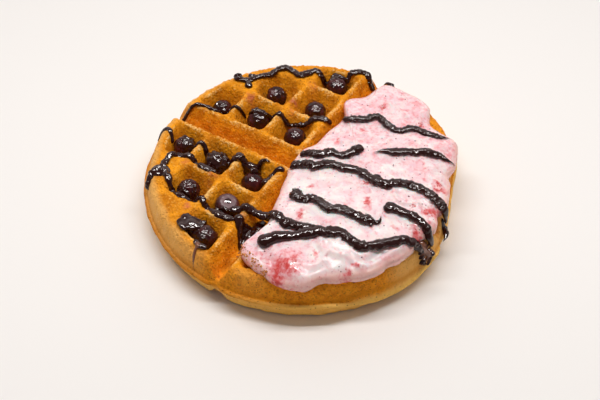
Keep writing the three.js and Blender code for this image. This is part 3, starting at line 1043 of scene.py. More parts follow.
@dataclass
class Crust:
    """The baked waffle: pockets and grooves above and below, and the seam round its edge."""

    thickness: float = 28.0
    edge_radius: float = 93.0
    # One side came out short: where it faces, how far out it lies, and how sharply it is cut.
    short_side: float = 20.0
    short_reach: float = 86.4
    short_corners: float = 60.0
    # The seam's lip droops for a stretch: where it faces, its half width in degrees, and the drop.
    droop_side: float = -28.0
    droop_width: float = 24.0
    droop: float = 5.2
    # The iron: how its studs stand, how square they are, and how they end at the rim.
    pitch: float = 25.5
    groove_to_ridge: float = 8.5
    rows: int = 3
    rim_radius: float = 82.4
    rim_taper: float = 0.42
    squareness: float = 8.0
    pocket: Section = field(default_factory=lambda: [(12.0, 0), (10.4, 2.0), (6.0, 12.2), (4.8, 13.5)])
    groove: Section = field(default_factory=lambda: [(7.5, 0), (6.1, 1.8), (1.9, 10.8), (0.7, 12.0)])
    under_pocket: Section = field(default_factory=lambda: [(11.4, 0), (10.3, 1.6), (7.0, 9.0)])
    under_groove: Section = field(default_factory=lambda: [(6.8, 0), (5.8, 1.6), (2.6, 7.5)])
    shoulder: Section = field(
        default_factory=lambda: [
            (81.5, 28.0), (85.6, 27.2), (88.0, 25.2), (89.5, 20.5), (90.6, 15.2), (94, 0),
        ]
    )
    skirt: Section = field(default_factory=lambda: [(86.4, 0), (88.4, 1.4), (91.2, 11.4), (95, 25)])
    # The seam's lip, and the notches in it where the grooves run out.
    lip_root: float = 90.7
    lip_top: float = 13.7
    lip_bottom: float = 12.3
    notch: float = 2.2
    notch_width: float = 3.4
    # The mesh: a flat of squares above and below, and rings of points between them.
    flat_radius: float = 83.2
    foot_radius: float = 85.6
    fine: float = 0.65
    coarse: float = 1.3
    sides: int = 660
    side_reaches: tuple[float, ...] = (
        84.0, 84.8, 85.6, 86.3, 87.0, 87.6, 88.1, 88.5, 88.8, 89.1, 89.4, 89.7, 90.0, 90.3, 90.55,
    )
    lip_reaches: tuple[float, ...] = (90.8, 91.1, 91.6, 92.2, 92.7)
    under_lip_reaches: tuple[float, ...] = (92.5, 91.9, 91.3)
    foot_reaches: tuple[float, ...] = (
        90.9, 90.5, 90.1, 89.7, 89.3, 88.9, 88.6, 88.3, 87.9, 87.4, 86.9, 86.3,
    )
    map_step: float = 0.3
    rounding: float = 0.5
    broad_rounding: float = 2.6
    # How batter departs from the iron's even form.
    wall_drift: Unevenness = Unevenness(3, 13.0, 0.5)
    wall_ripple_x: Unevenness = Unevenness(2, 2.6, 0.3)
    wall_ripple_y: Unevenness = Unevenness(4, 2.6, 0.3)
    swell: Unevenness = Unevenness(5, 16.0, 0.3)
    knobs: Unevenness = Unevenness(6, 4.0, 0.16, 2)
    grain: Unevenness = Unevenness(7, 1.6, 0.2, 2)
    crumble: Unevenness = Unevenness(8, 1.4, 0.45, 2)
    under_grain: Unevenness = Unevenness(9, 4.0, 0.16, 2)
    ragged: Unevenness = Unevenness(11, 9.0, 0.45, 3)
    seam_swell: Unevenness = Unevenness(12, 14.0, 0.25, 2)
    dents: Unevenness = Unevenness(17, 9.0, 0.4, 2)
    small_dents: Unevenness = Unevenness(18, 2.2, 0.18, 2)
    # Where the outside baked paler, in degrees, and how the browning wanders.
    tan_side: float = 200.0
    pale_side: float = -5.0
    outer_drift: Unevenness = Unevenness(14, 8.0, 1.5)
    tan_drift: Unevenness = Unevenness(16, 14.0, 0.35, 2)
    # Stains of berry juice, as x, y and radius.
    stain_break: Unevenness = Unevenness(15, 2.0, 0.5, 2)
    stains: list[tuple[float, float, float]] = field(
        default_factory=lambda: [
            (-58, 31, 3.2), (-33, 41, 2.6), (-29, 34, 2.4), (-60, -34, 3.0), (-41, -35, 3.0),
            (-14, 24, 2.4), (-30, 61, 3.0), (-9, -52, 2.2), (-38, -62, 2.0),
        ]
    )

    def __post_init__(self) -> None:
        """Presses the studs of the iron into both sides, once."""
        half, step = self.edge_radius + 2, self.map_step
        x, y = HeightMap.spots(half, step)
        here = flat_places(x, y)
        # The second shift is read far away in the same field, so that it differs from the first.
        far = here + 200
        shift_x = self.wall_drift.at(here) + self.wall_ripple_x.at(here)
        shift_y = self.wall_drift.at(far) + self.wall_ripple_y.at(here)
        warped = x + shift_x.reshape(x.shape), y + shift_y.reshape(x.shape)
        radius = np.hypot(x, y) / self.share(np.arctan2(y, x))
        top = self.thickness - self.pressed(*warped, radius, self.pocket, self.groove)
        under = self.pressed(*warped, radius, self.under_pocket, self.under_groove)
        top = np.minimum(top, np.interp(radius, *zip(*self.shoulder)))
        under = np.maximum(under, np.interp(radius, *zip(*self.skirt)))
        self.top_map = HeightMap(top, half, step).blurred(self.rounding)
        self.under_map = HeightMap(under, half, step).blurred(self.rounding)
        broad = self.top_map.blurred(self.broad_rounding)
        self.standing_out = HeightMap(self.top_map.values - broad.values, half, step)

    def share(self, angle: np.ndarray) -> np.ndarray:
        """Measures how the edge departs from a circle.

        Args:
            angle: directions from the middle.

        Returns:
            How far out the edge lies in each, as a share of the edge radius.
        """
        facing = np.maximum(np.cos(angle - math.radians(self.short_side)), 0.1)
        cut = (self.edge_radius * facing / self.short_reach) ** self.short_corners
        return (1.0 + cut) ** (-1.0 / self.short_corners)

    def drop(self, angle: np.ndarray) -> np.ndarray:
        """How far the seam's lip hangs down at an angle."""
        turn = (np.degrees(angle) - self.droop_side) / self.droop_width
        return self.droop * np.clip(1 - turn**2, 0, None) ** 2

    def pressed(
        self, x: np.ndarray, y: np.ndarray, radius: np.ndarray, pocket: Section, groove: Section
    ) -> np.ndarray:
        """Works out how deep one plate of the iron goes.

        Args:
            x: places along one groove.
            y: places along the other groove.
            radius: distances from the middle.
            pocket: the studs' section.
            groove: the section of the two ribs.

        Returns:
            The depth below the ridges at each place.
        """
        across, along = np.abs(x) - self.groove_to_ridge, np.abs(y) - self.groove_to_ridge
        column, row = np.floor(across / self.pitch), np.floor(along / self.pitch)
        within = (column >= 0) & (row >= 0) & (column + row < self.rows)
        dx = np.abs(across - (column + 0.5) * self.pitch)
        dy = np.abs(along - (row + 0.5) * self.pitch)
        reach = (dx**self.squareness + dy**self.squareness) ** (1 / self.squareness)
        to_rim = np.maximum(0.0, (self.rim_radius - radius) / self.rim_taper)
        depth = np.where(within, np.minimum(in_section(reach, pocket), to_rim), 0.0)
        return np.maximum(depth, in_section(np.minimum(np.abs(x), np.abs(y)), groove))

    def top(self, x: np.ndarray, y: np.ndarray) -> np.ndarray:
        """Measures the upper side, as baked.

        Args:
            x: places along one groove.
            y: places along the other groove.

        Returns:
            The height at each place.
        """
        here = flat_places(x, y)
        crest = np.clip(self.standing_out.at(x.ravel(), y.ravel()), 0, 1.2)
        rough = self.swell.at(here) + self.knobs.at(here) + self.grain.at(here)
        rough += crest * self.crumble.at(here) - 0.1
        return self.top_map.at(x, y) + rough.reshape(x.shape)

    def under(self, x: np.ndarray, y: np.ndarray) -> np.ndarray:
        """Height of the lower side; its ridges lie on the plane below."""
        rough = 0.12 + self.under_grain.at(flat_places(x, y))
        return np.maximum(0.0, self.under_map.at(x, y) + rough.reshape(x.shape))

    def edge_ring(self, reach: float, height: float | None, upper: bool) -> np.ndarray:
        """Makes one ring of points on the side of the waffle.

        Args:
            reach: the ring's radius, before the waffle's uneven edge is applied.
            height: least or greatest height where the seam's lip stands out, if it does.
            upper: whether the ring lies above the seam.

        Returns:
            The ring's points.
        """
        angle = (np.arange(self.sides) + 0.5) / self.sides * math.tau - math.pi
        around = np.stack([np.cos(angle), np.sin(angle), np.zeros(self.sides)], 1)
        circle = around * self.edge_radius
        at_lip = smooth_step(np.array(reach), self.lip_root, self.edge_radius)
        ragged = np.minimum(self.ragged.at(circle), 0.3) - self.ragged.height
        to_groove = np.minimum(np.abs(circle[:, 0]), np.abs(circle[:, 1]))
        ragged -= self.notch * np.exp(-((to_groove / self.notch_width) ** 2))
        radius = reach * self.share(angle) + at_lip * ragged
        x, y = around[:, 0] * radius, around[:, 1] * radius
        surface = self.top(x, y) if upper else self.under(x, y)
        skin = np.stack([x, y, surface], 1)
        dents = self.dents.at(skin) + self.small_dents.at(skin)
        dents *= smooth_step(np.array(reach), 84.0, 86.5) * (1 - at_lip)
        x, y = x + around[:, 0] * dents, y + around[:, 1] * dents
        if height is not None:
            seam = height + self.seam_swell.at(circle) - self.drop(angle)
            surface = np.maximum(surface, seam) if upper else np.minimum(surface, seam)
        return np.stack([x, y, surface], 1)

    def side_rings(self) -> list[np.ndarray]:
        """Makes the side of the waffle.

        Returns:
            Rings of points from the top's edge out to the seam and back under to the foot.
        """
        lip = self.edge_radius - self.lip_root
        thin = self.lip_top - self.lip_bottom
        rings = [self.edge_ring(reach, None, True) for reach in self.side_reaches]
        for reach in self.lip_reaches:
            inwards = (self.edge_radius - reach) / lip
            rings.append(self.edge_ring(reach, self.lip_top + 0.9 * inwards, True))
        rings.append(self.edge_ring(self.edge_radius, self.lip_bottom + 0.75 * thin, True))
        rings.append(self.edge_ring(self.edge_radius, self.lip_bottom + 0.2 * thin, False))
        for reach in self.under_lip_reaches:
            inwards = (self.edge_radius - reach) / lip
            rings.append(self.edge_ring(reach, self.lip_bottom - 0.7 * inwards, False))
        rings += [self.edge_ring(reach, None, False) for reach in self.foot_reaches]
        return rings

    def build(self) -> bpy.types.Object:
        """Makes the crust's mesh and paints its browning.

        Returns:
            The crust, which stands for the waffle's node.
        """
        upper, upper_faces, upper_loop = disc_grid(self.flat_radius, self.fine)
        lower, lower_faces, lower_loop = disc_grid(self.foot_radius, self.coarse)
        for flat in (upper, lower):
            reach = np.hypot(flat[:, 0], flat[:, 1])
            share = self.share(np.arctan2(flat[:, 1], flat[:, 0]))
            flat *= (1 + (share - 1) * smooth_step(reach, 60.0, 83.0))[:, None]
        rings = self.side_rings()
        top = np.column_stack([upper, self.top(upper[:, 0], upper[:, 1])])
        bottom = np.column_stack([lower, self.under(lower[:, 0], lower[:, 1])])
        points = np.concatenate([top, *rings, bottom])
        first, last = len(top), len(top) + len(rings) * self.sides
        angles = np.arctan2(points[:, 1], points[:, 0])
        faces = list(upper_faces)
        for i in range(len(rings) - 1):
            faces += ring_faces(first + i * self.sides, first + (i + 1) * self.sides, self.sides)
        faces += [tuple(corner + last for corner in face) for face in lower_faces]
        faces += zipped(upper_loop, list(range(first, first + self.sides)), angles)
        under_loop = [corner + last for corner in lower_loop]
        faces += zipped(under_loop, list(range(last - self.sides, last)), angles)
        piece = make_piece("baked_crust", points, faces, BakedCrust())
        self.brown(piece, points)
        return place(piece, "waffle_crust", "waffle")

    def brown(self, piece: bpy.types.Object, points: np.ndarray) -> None:
        """Paints where the crust is pale, brown or stained, and its painted highlight and shade.

        Args:
            piece: the crust, changed in place.
            points: its points in millimetres.
        """
        x, y, z = points.T
        here = flat_places(x, y)
        angle = np.arctan2(y, x)
        radius = np.hypot(x, y) / self.share(angle)
        seam = (self.lip_top + self.lip_bottom) / 2 - self.drop(angle)
        above = z > seam - 1.0
        standing_out = np.where(above, self.standing_out.at(x, y), 0.0)
        outer = smooth_step(radius + self.outer_drift.at(here), 82.5, 87.0)
        inner = 1 - outer
        # Crests that stand out are painted paler: pale grains, and a painted highlight.
        paint(piece, "crest", inner * smooth_step(standing_out, 1.2, 2.9))
        # Painted shade: darkens the pockets' floors, which sink below the crust round them.
        paint(piece, "sunk", 0.3 * inner * smooth_step(-standing_out, 0.3, 3.0))
        paint(piece, "outer", 0.95 * np.where(above, outer, 1.0))
        paint(piece, "below", 0.85 * smooth_step(seam - z, 0.2, 1.2) * smooth_step(radius, 85.0, 88.0))
        # The outside baked palest on its tan side and its pale side.
        facing = np.cos(angle - math.radians(self.tan_side))
        tan = smooth_step(facing + self.tan_drift.at(here), 0.2, 1.05)
        pale = smooth_step(np.cos(angle - math.radians(self.pale_side)), 0.9, 0.97)
        paint(piece, "tan", 0.8 * np.maximum(tan, pale))
        # The lip is brown on the tan side and straw facing away; its crease has painted shade.
        lip = smooth_step(radius, 91.0, 91.8)
        crease = np.exp(-(((radius - 90.6) / 0.5) ** 2)) * np.where(above, 1.0, 0.4)
        paint(piece, "lip", 0.75 * lip * smooth_step(facing, -0.4, 0.6) + 0.6 * crease)
        paint(piece, "flange", 0.9 * lip * smooth_step(-facing, -0.5, 0.2))
        blush = np.zeros(len(points))
        for stain_x, stain_y, size in self.stains:
            away = np.hypot(x - stain_x, y - stain_y) / size
            blush += np.exp(-away * away)
        blush *= np.where(above, 0.35 + self.stain_break.at(points), 0.0)
        paint(piece, "blush", np.clip(blush, 0, 0.7))


# ---- Cream ----


@dataclass
class Cream:
    """The slab of strawberry cream: a soft top, lobed edges, and a foot in the pockets below."""

    crust: Crust
    middle: tuple[float, float] = (40.0, 0.0)
    crown: float = 37.4
    # It is heaped higher towards one side: where that faces, and by how much.
    plump_side: float = -50.0
    plump_lift: float = 1.8
    outline: Route = field(
        default_factory=lambda: [
            (9, 82), (5, 74), (3, 66), (-4, 59), (-5, 53), (0, 47), (1, 38), (-1, 28), (-2, 15),
            (-6, 6), (-5, -7), (-2, -17), (1, -28), (4.5, -41), (8, -51.5), (7.5, -61), (5, -72),
            (11, -79.5), (25, -82), (35, -83.5), (47, -80), (53, -71), (63, -63), (72, -55),
            (77.5, -46), (78, -42.5), (82.5, -36), (85, -26), (83.5, -19), (86.5, -11), (88.5, -5),
            (85, 3), (86, 11), (83, 20), (80.5, 27), (76, 33), (75.5, 43), (71, 54), (66, 60.5),
            (56, 62), (48, 64.5), (44, 71), (41, 77), (33, 81), (22, 82),
        ]
    )
    # Heights below and above the edge, by the distance in from it.
    skirt: Section = field(
        default_factory=lambda: [(0.0, 28.8), (0.3, 26.8), (2.2, 24.6), (6, 20), (16, 13.8)]
    )
    shoulder: Section = field(
        default_factory=lambda: [(0.0, 28.8), (1.3, 31.0), (4.5, 33.2), (11, 35.2)]
    )
    # The mesh: rings at these distances in from the edge, and even rings within them.
    sides: int = 480
    inner_rings: int = 56
    inner_inset: float = 10.8
    upper_insets: tuple[float, ...] = (
        9.8, 8.8, 7.8, 6.8, 5.8, 4.9, 4.0, 3.2, 2.4, 1.7, 1.1, 0.6, 0.25,
    )
    lower_insets: tuple[float, ...] = (0.05, 0.15, 0.3, 0.8, 1.4, 2.2, 3.4, 4.7, 6.0, 8.0, 10.0)
    # How the spoon and the whisk left it uneven.
    edge_ruffle: Unevenness = Unevenness(24, 5.0, 0.7, 3)
    creases: Unevenness = Unevenness(21, 9.0, layers=2)
    crease_height: float = 0.42
    lumps: Unevenness = Unevenness(22, 4.2, 0.28, 2)
    froth: Unevenness = Unevenness(23, 1.2, 0.09, 2)
    # Folds that the spoon drew up: their height and half width, and the dip beside them.
    fold: tuple[float, float] = (0.8, 1.3)
    fold_dip: tuple[float, float] = (0.35, 1.5)
    fold_dip_at: float = 3.0
    rosy_drift: Unevenness = Unevenness(26, 26.0, 14.0)
    fruit_break: Unevenness = Unevenness(25, 1.8, 0.7, 2)
    folds: list[Route] = field(
        default_factory=lambda: [
            [(43, -54), (49, -55), (55, -54), (61, -53), (67, -53), (72, -55)],
            [(37, -46), (42, -51), (45, -55), (49, -57)],
            [(66, -54), (71, -50), (75, -43), (78, -36), (82, -28)],
            [(48, 57), (40, 58), (31, 60), (22, 62)],
            [(14, 20), (22, 26), (30, 30), (37, 36)],
            [(52, 8), (60, -2), (66, -4), (73, 0)],
        ]
    )
    # Where crushed fruit shows, as x, y and size.
    fruits: list[tuple[float, float, float]] = field(
        default_factory=lambda: [
            (34, -75, 4.8), (33, -81, 3.8), (37, -70, 2.8), (64, -60, 2.4), (66, -54, 1.8),
            (82.5, -17, 4.2), (83.2, -11, 2.8), (81.5, 0.5, 4.4), (78, 18, 3.2), (75, 21, 2.2),
            (50, -15, 2.8), (72, -3, 1.9),
            (41, -3, 2.2), (19, 34, 1.8), (45, 58, 2.0), (20, 58, 2.2), (31, 62, 1.8),
            (69, 44, 1.8), (81, 12, 1.6), (23, -40, 2.6), (16, -20, 1.6), (71, -22, 1.8),
            (44, -60, 1.8), (10, 20, 1.8), (49, -14, 1.8),
        ]
    )

    def __post_init__(self) -> None:
        """Measures how far the outline is from the middle, all the way round."""
        edge = smooth_curve(self.outline, 0.4, closed=True)
        away = edge - np.array(self.middle)
        angle = np.arctan2(away[:, 1], away[:, 0])
        order = np.argsort(angle)
        self.edge_angle = angle[order]
        self.edge_reach = np.hypot(away[:, 0], away[:, 1])[order]

    def reach(self, angle: np.ndarray) -> np.ndarray:
        """How far the cream's edge is from its middle at an angle."""
        return np.interp(angle, self.edge_angle, self.edge_reach, period=math.tau)

    def swell(self, x: np.ndarray, y: np.ndarray) -> np.ndarray:
        """Soft swells and hollows left by the spoon, the same as in the part."""
        across = np.sin(x / 7.5 + 1.3 * np.sin(y / 11)) * np.cos(y / 8.5 - 0.6)
        return across + 0.5 * np.sin((x + y) / 6.5 + 0.8)

    def relief(self, x: np.ndarray, y: np.ndarray) -> np.ndarray:
        """Works out the folds and the froth, which are too fine for the part.

        Args:
            x: places along one groove.
            y: places along the other groove.

        Returns:
            How far the cream stands out at each place.
        """
        here = flat_places(x, y)
        fine = self.crease_height * (1 - 2 * np.abs(self.creases.at(here))) - 0.3
        fine += self.lumps.at(here) + self.froth.at(here)
        height, width = self.fold
        dip, dip_width = self.fold_dip
        for fold in self.folds:
            gap = np.full(x.size, np.inf)
            for spot in smooth_curve(fold, 1.0):
                gap = np.minimum(gap, np.hypot(here[:, 0] - spot[0], here[:, 1] - spot[1]))
            fine += height * np.exp(-((gap / width) ** 2))
            fine -= dip * np.exp(-(((gap - self.fold_dip_at) / dip_width) ** 2))
        return fine.reshape(x.shape)

    def top(self, x: np.ndarray, y: np.ndarray) -> np.ndarray:
        """Measures the cream's upper side inside its edge.

        Args:
            x: places along one groove.
            y: places along the other groove.

        Returns:
            The height at each place.
        """
        dx, dy = x - self.middle[0], y - self.middle[1]
        out, angle = np.hypot(dx, dy), np.arctan2(dy, dx)
        reach = self.reach(angle)
        inset = np.maximum(0.0, reach - out)
        insets, heights = zip(*self.shoulder)
        slope = np.interp(inset, insets, heights)
        inner = np.clip((inset - insets[-1]) / np.maximum(reach - insets[-1], 1.0), 0, 1)
        dome = (self.crown - heights[-1]) * np.sqrt(inner)
        facing = np.cos(angle - math.radians(self.plump_side))
        plump = self.plump_lift * np.maximum(0.0, facing) * np.minimum(1.0, out / 40)
        swell = smooth_step(inset, 1.0, 8.0) * self.swell(x, y)
        return slope + dome + plump + swell + smooth_step(inset, 0, 3) * self.relief(x, y)

    def under(self, x: np.ndarray, y: np.ndarray, inset: np.ndarray) -> np.ndarray:
        """Height of the cream's lower side, which follows the waffle inside its skirt."""
        skirt = np.interp(inset, *zip(*self.skirt))
        return np.maximum(skirt, self.crust.top_map.at(x, y) + 0.15)

    def ring(self, around: np.ndarray, out: np.ndarray, reach: np.ndarray, upper: bool) -> np.ndarray:
        """Makes one ring of points.

        Args:
            around: directions from the middle.
            out: how far out each point lies.
            reach: how far out the edge lies.
            upper: whether the ring lies on the upper side.

        Returns:
            The ring's points.
        """
        x = self.middle[0] + around[:, 0] * out
        y = self.middle[1] + around[:, 1] * out
        z = self.top(x, y) if upper else self.under(x, y, reach - out)
        return np.stack([x, y, z], 1)

    def rings(self) -> list[np.ndarray]:
        """Makes both sides of the cream.

        Returns:
            Rings of points from the middle out over the top and back in underneath.
        """
        angle = (np.arange(self.sides) + 0.5) / self.sides * math.tau - math.pi
        around = np.stack([np.cos(angle), np.sin(angle)], 1)
        reach = self.reach(angle)
        ruffle = self.edge_ruffle.at(flat_places(*(around * reach[:, None]).T))
        reach = reach + np.minimum(0.1, ruffle - 0.3)
        shares = np.linspace(0, 1, self.inner_rings + 1)[1:]
        inner = reach - self.inner_inset
        rings = [self.ring(around, inner * share, reach, True) for share in shares]
        rings += [self.ring(around, reach - inset, reach, True) for inset in (*self.upper_insets, 0)]
        rings += [self.ring(around, reach - inset, reach, False) for inset in self.lower_insets]
        rings += [self.ring(around, inner * share, reach, False) for share in shares[-2::-1]]
        return rings

    def build(self) -> bpy.types.Object:
        """Makes the cream's mesh and paints where fruit shows in it.

        Returns:
            The cream, which stands for the cream's node.
        """
        rings = self.rings()
        centre = [np.array([value]) for value in self.middle]
        peak, floor = self.top(*centre)[0], self.under(*centre, self.reach(np.zeros(1)))[0]
        points = np.concatenate([*rings, [[*self.middle, peak], [*self.middle, floor]]])
        faces: Faces = []
        for i in range(len(rings) - 1):
            faces += ring_faces(i * self.sides, (i + 1) * self.sides, self.sides)
        faces += tip_faces(0, len(points) - 2, self.sides)
        faces += tip_faces((len(rings) - 1) * self.sides, len(points) - 1, self.sides)
        piece = make_piece("whipped_cream", points, faces, WhippedCream())
        paint(piece, "fruit", self.fruitiness(points))
        # The front and the back are painted rosier than the middle.
        along = points[:, 1] + self.rosy_drift.at(points)
        front = 1.1 * (1 - smooth_step(along, -72.0, -46.0))
        paint(piece, "rosy", np.maximum(front, smooth_step(along, -5.0, 55.0)))
        away = points[:, :2] - np.array(self.middle)
        inset = self.reach(np.arctan2(away[:, 1], away[:, 0])) - np.hypot(away[:, 0], away[:, 1])
        # Painted bounce light: warm near the cream's edge.
        paint(piece, "edge_bounce_light", 0.75 * (1 - smooth_step(inset, 0.5, 5.0)))
        return place(piece, "strawberry_cream", "cream")

    def fruitiness(self, points: np.ndarray) -> np.ndarray:
        """Works out how much crushed fruit shows.

        Args:
            points: the cream's points.

        Returns:
            A share from 0 to 1 for each point.
        """
        shown = np.zeros(len(points))
        for number, (x, y, size) in enumerate(self.fruits):
            dx, dy = points[:, 0] - x, points[:, 1] - y
            # Each bit is longer than wide, and turned further than the one before.
            slant = 2.4 * number
            along = (dx * math.cos(slant) + dy * math.sin(slant)) / (1.5 * size)
            across = (dy * math.cos(slant) - dx * math.sin(slant)) / (0.8 * size)
            strength = min(1.0, 0.4 + 0.15 * size)
            shown = np.maximum(shown, strength * np.exp(-(along**2) - across**2))
        return np.clip(shown * (1 + self.fruit_break.at(points)), 0, 1)


# ---- Syrup ----


class StrandEnd(Enum):
    """How a strand of syrup starts or stops."""

    ROUND = "round"
    BULB = "bulb"
    POINT = "point"


@dataclass
class Strand:
    """One run of syrup: its radius, its route over the food, and its two ends."""

    radius: float
    route: Route
    start: StrandEnd = StrandEnd.ROUND
    stop: StrandEnd = StrandEnd.ROUND
    # How much it coiled on itself, from 0 to 1, and the least height of its middle line.
    coils: float = 0.7
    least: float = 0.0


@dataclass
class Puddle:
    """A flat sheet of syrup inside an outline, at a level or on what lies below it."""

    outline: Route
    level: float | None
    thickness: float
    spacing: float = 0.8

    def spots(self) -> np.ndarray:
        """Fills the outline with a square grid.

        Returns:
            The grid's points (x, y), one a row.
        """
        edge = np.array(self.outline)
        low, high = edge.min(0), edge.max(0)
        x, y = np.meshgrid(*(np.arange(low[i], high[i], self.spacing) for i in (0, 1)))
        within = np.zeros(x.shape, bool)
        for (x1, y1), (x2, y2) in zip(edge, np.roll(edge, -1, axis=0)):
            if y1 != y2:
                crossed = (y1 > y) != (y2 > y)
                within ^= crossed & (x < (x2 - x1) * (y - y1) / (y2 - y1) + x1)
        return np.stack([x[within], y[within]], 1)


@dataclass
class Coat:
    """Syrup that has run over a berry: which way the wet side faces, and how far round it goes."""

    berry: int
    turn: float
    tilt: float
    spread: float
    thickness: float = 0.45


@dataclass
class Syrup:
    """Strands and pools of syrup that lie on one surface and melt into one another."""

    name: str
    nodes: tuple[str, ...]
    surface: HeightAt
    strands: list[Strand]
    # Nothing of it is higher than this.
    ceiling: float
    # Middle and size of the pools.
    pools: list[tuple[tuple[float, float, float], tuple[float, float, float]]] = field(
        default_factory=list
    )
    puddles: list[Puddle] = field(default_factory=list)
    coats: list[Coat] = field(default_factory=list)
    # Where it is so thin that light shines through.
    thin_routes: list[Route] = field(default_factory=list)
    thin_width: float = 1.6
    # How a strand lies: its lift and height as shares of its radius, and the length of a coil.
    lift: float = 0.4
    flatness: float = 0.78
    crimp: float = 4.2
    ruffle: float = 1.35
    # The mesh: points along and round a strand, and the spacing of the skin over everything.
    step: float = 0.4
    sides: int = 14
    voxel: float = 0.36

    def thickness_along(self, strand: Strand, share: np.ndarray, run: float) -> np.ndarray:
        """Shapes a strand's two ends.

        Args:
            strand: the strand.
            share: places along it, from 0 to 1.
            run: its length.

        Returns:
            Its radius at each place, as a share of its usual one.
        """
        profile = np.ones(len(share))
        for end, gap in ((strand.start, share * run), (strand.stop, (1 - share) * run)):
            reach = gap / strand.radius
            if end is StrandEnd.BULB:
                cap = np.sqrt(np.clip(1 - (1 - reach / 1.3) ** 2, 0, 1))
                profile *= np.where(reach < 1.3, cap, 1.0)
                profile += 0.22 * np.exp(-(((reach - 1.4) / 1.1) ** 2))
            elif end is StrandEnd.ROUND:
                profile *= np.sqrt(np.clip(1 - (1 - np.minimum(reach, 1)) ** 2, 0.02, 1))
            else:
                profile *= 0.12 + 0.88 * smooth_step(reach, 0.0, 5.0)
        return profile

    def lay(self, strand: Strand) -> np.ndarray:
        """Drapes a strand over the surface.

        Args:
            strand: the strand.

        Returns:
            The points of its middle line.
        """
        flat = smooth_curve(strand.route, self.step)
        height = np.maximum(self.surface(flat[:, 0], flat[:, 1]), strand.least)
        # Thick syrup bridges narrow gaps.
        for _ in range(5):
            height[1:-1] = (height[:-2] + 2 * height[1:-1] + height[2:]) / 4
        return np.column_stack([flat, height + self.lift * strand.radius])

    @staticmethod
    def sideways(along: np.ndarray) -> np.ndarray:
        """The level directions across a line that runs along the given ones."""
        side = np.cross([0.0, 0.0, 1.0], along)
        return side / np.maximum(np.linalg.norm(side, axis=1), 1e-6)[:, None]

    def tube(
        self, line: np.ndarray, radius: np.ndarray, ruffling: float, seed: int
    ) -> tuple[np.ndarray, Faces]:
        """Makes a closed tube round a line.

        Args:
            line: the points of its middle line.
            radius: its radius at each of them.
            ruffling: how far its ruffles go in and out, as a share of the radius.
            seed: which ruffles it gets.

        Returns:
            The tube's points and faces.
        """
        along = np.gradient(line, axis=0)
        along /= np.linalg.norm(along, axis=1)[:, None]
        side = self.sideways(along)
        rise = np.cross(along, side)
        turn = np.arange(self.sides) / self.sides * math.tau
        wide = np.cos(turn)[None, :, None] * side[:, None, :]
        tall = self.flatness * np.sin(turn)[None, :, None] * rise[:, None, :]
        # The ruffles lie across the strand, so they change fast along it and slowly round it.
        run, turn = np.meshgrid(self.step * np.arange(len(line)), turn, indexing="ij")
        places = np.stack([run.ravel(), 1.1 * np.cos(turn).ravel(), 1.1 * np.sin(turn).ravel()], 1)
        ruffles = Unevenness(seed, self.ruffle, ruffling, 2).at(places).reshape(turn.shape)
        thickness = radius[:, None] * (1 + ruffles)
        skin = line[:, None, :] + thickness[:, :, None] * (wide + tall)
        points = np.concatenate([skin.reshape(-1, 3), line[:1], line[-1:]])
        faces: Faces = []
        for i in range(len(line) - 1):
            faces += ring_faces(i * self.sides, (i + 1) * self.sides, self.sides)
        faces += tip_faces(0, len(points) - 2, self.sides)
        faces += tip_faces((len(line) - 1) * self.sides, len(points) - 1, self.sides)
        return points, faces

    def add_strand(self, heap: Heap, strand: Strand, number: int) -> None:
        """Adds a strand and, where it fell slowly, the coils that it laid on itself.

        Args:
            heap: where the bodies go.
            strand: the strand.
            number: its place in the list, which seeds its unevenness.
        """
        line = self.lay(strand)
        run = self.step * (len(line) - 1)
        share = np.linspace(0, 1, len(line))
        shape = self.thickness_along(strand, share, run)
        radius = strand.radius * shape * (1 + Unevenness(31 + number, 4.2, 0.16, 2).at(line))
        side = self.sideways(np.gradient(line, axis=0))
        sway = radius * Unevenness(51 + number, 4.5, 0.2).at(line)
        line = line + sway[:, None] * side
        seed = 191 + 3 * number
        ruffling = 0.1 + 0.55 * strand.coils
        heap.add(*self.tube(line, radius * (1.12 - 0.34 * strand.coils), ruffling, seed))
        if strand.coils == 0:
            return
        loose = Unevenness(71 + number, 5.0, 3.2).at(line)
        strength = smooth_step(Unevenness(111 + number, 9.0).at(line), -0.8, 0.2)
        strength = strand.coils * (0.6 + 0.4 * strength)
        for half_turn in (1, 2):
            turn = share * run / self.crimp * math.tau + loose + half_turn * math.pi
            coil = line + (radius * np.sin(turn) * (0.4 + 0.3 * strength))[:, None] * side
            coil[:, 2] += radius * (0.3 * np.cos(turn) + 0.26) * strength
            heap.add(*self.tube(coil, radius * (0.4 + 0.12 * strength), ruffling, seed + half_turn))

    def add_puddle(self, heap: Heap, puddle: Puddle) -> None:
        """Adds a puddle as many flat drops that melt into one sheet.

        Args:
            heap: where the drops go.
            puddle: the puddle.
        """
        body, faces = ball(2)
        spots = puddle.spots()
        if puddle.level is None:
            height = self.surface(spots[:, 0], spots[:, 1]) + 0.3 * puddle.thickness
        else:
            height = np.full(len(spots), puddle.level)
        height += Unevenness(171, 4.0, 0.9, 2).at(flat_places(*spots.T))
        sizes = 1.3 + Unevenness(172, 1.8, 0.7).at(flat_places(*spots.T))
        for (x, y), z, size in zip(spots, height, sizes):
            heap.add(body * np.array([size, size, puddle.thickness / 2]) + np.array([x, y, z]), faces)

    def add_coat(self, heap: Heap, coat: Coat) -> None:
        """Adds a coat as a ball that stands out of the berry on its wet side only.

        Args:
            heap: where the ball goes.
            coat: the coat.
        """
        middle, half = middle_and_half(berry_node(coat.berry))
        body, faces = ball(4)
        away = np.degrees(np.arccos(np.clip(body @ direction(coat.turn, coat.tilt), -1, 1)))
        away += Unevenness(131 + coat.berry, 0.6, 14, 2).at(body)
        cover = smooth_step(coat.spread - away, 0, 12)
        lumps = 1 + Unevenness(151 + coat.berry, 0.24, 1.8, 2).at(body)
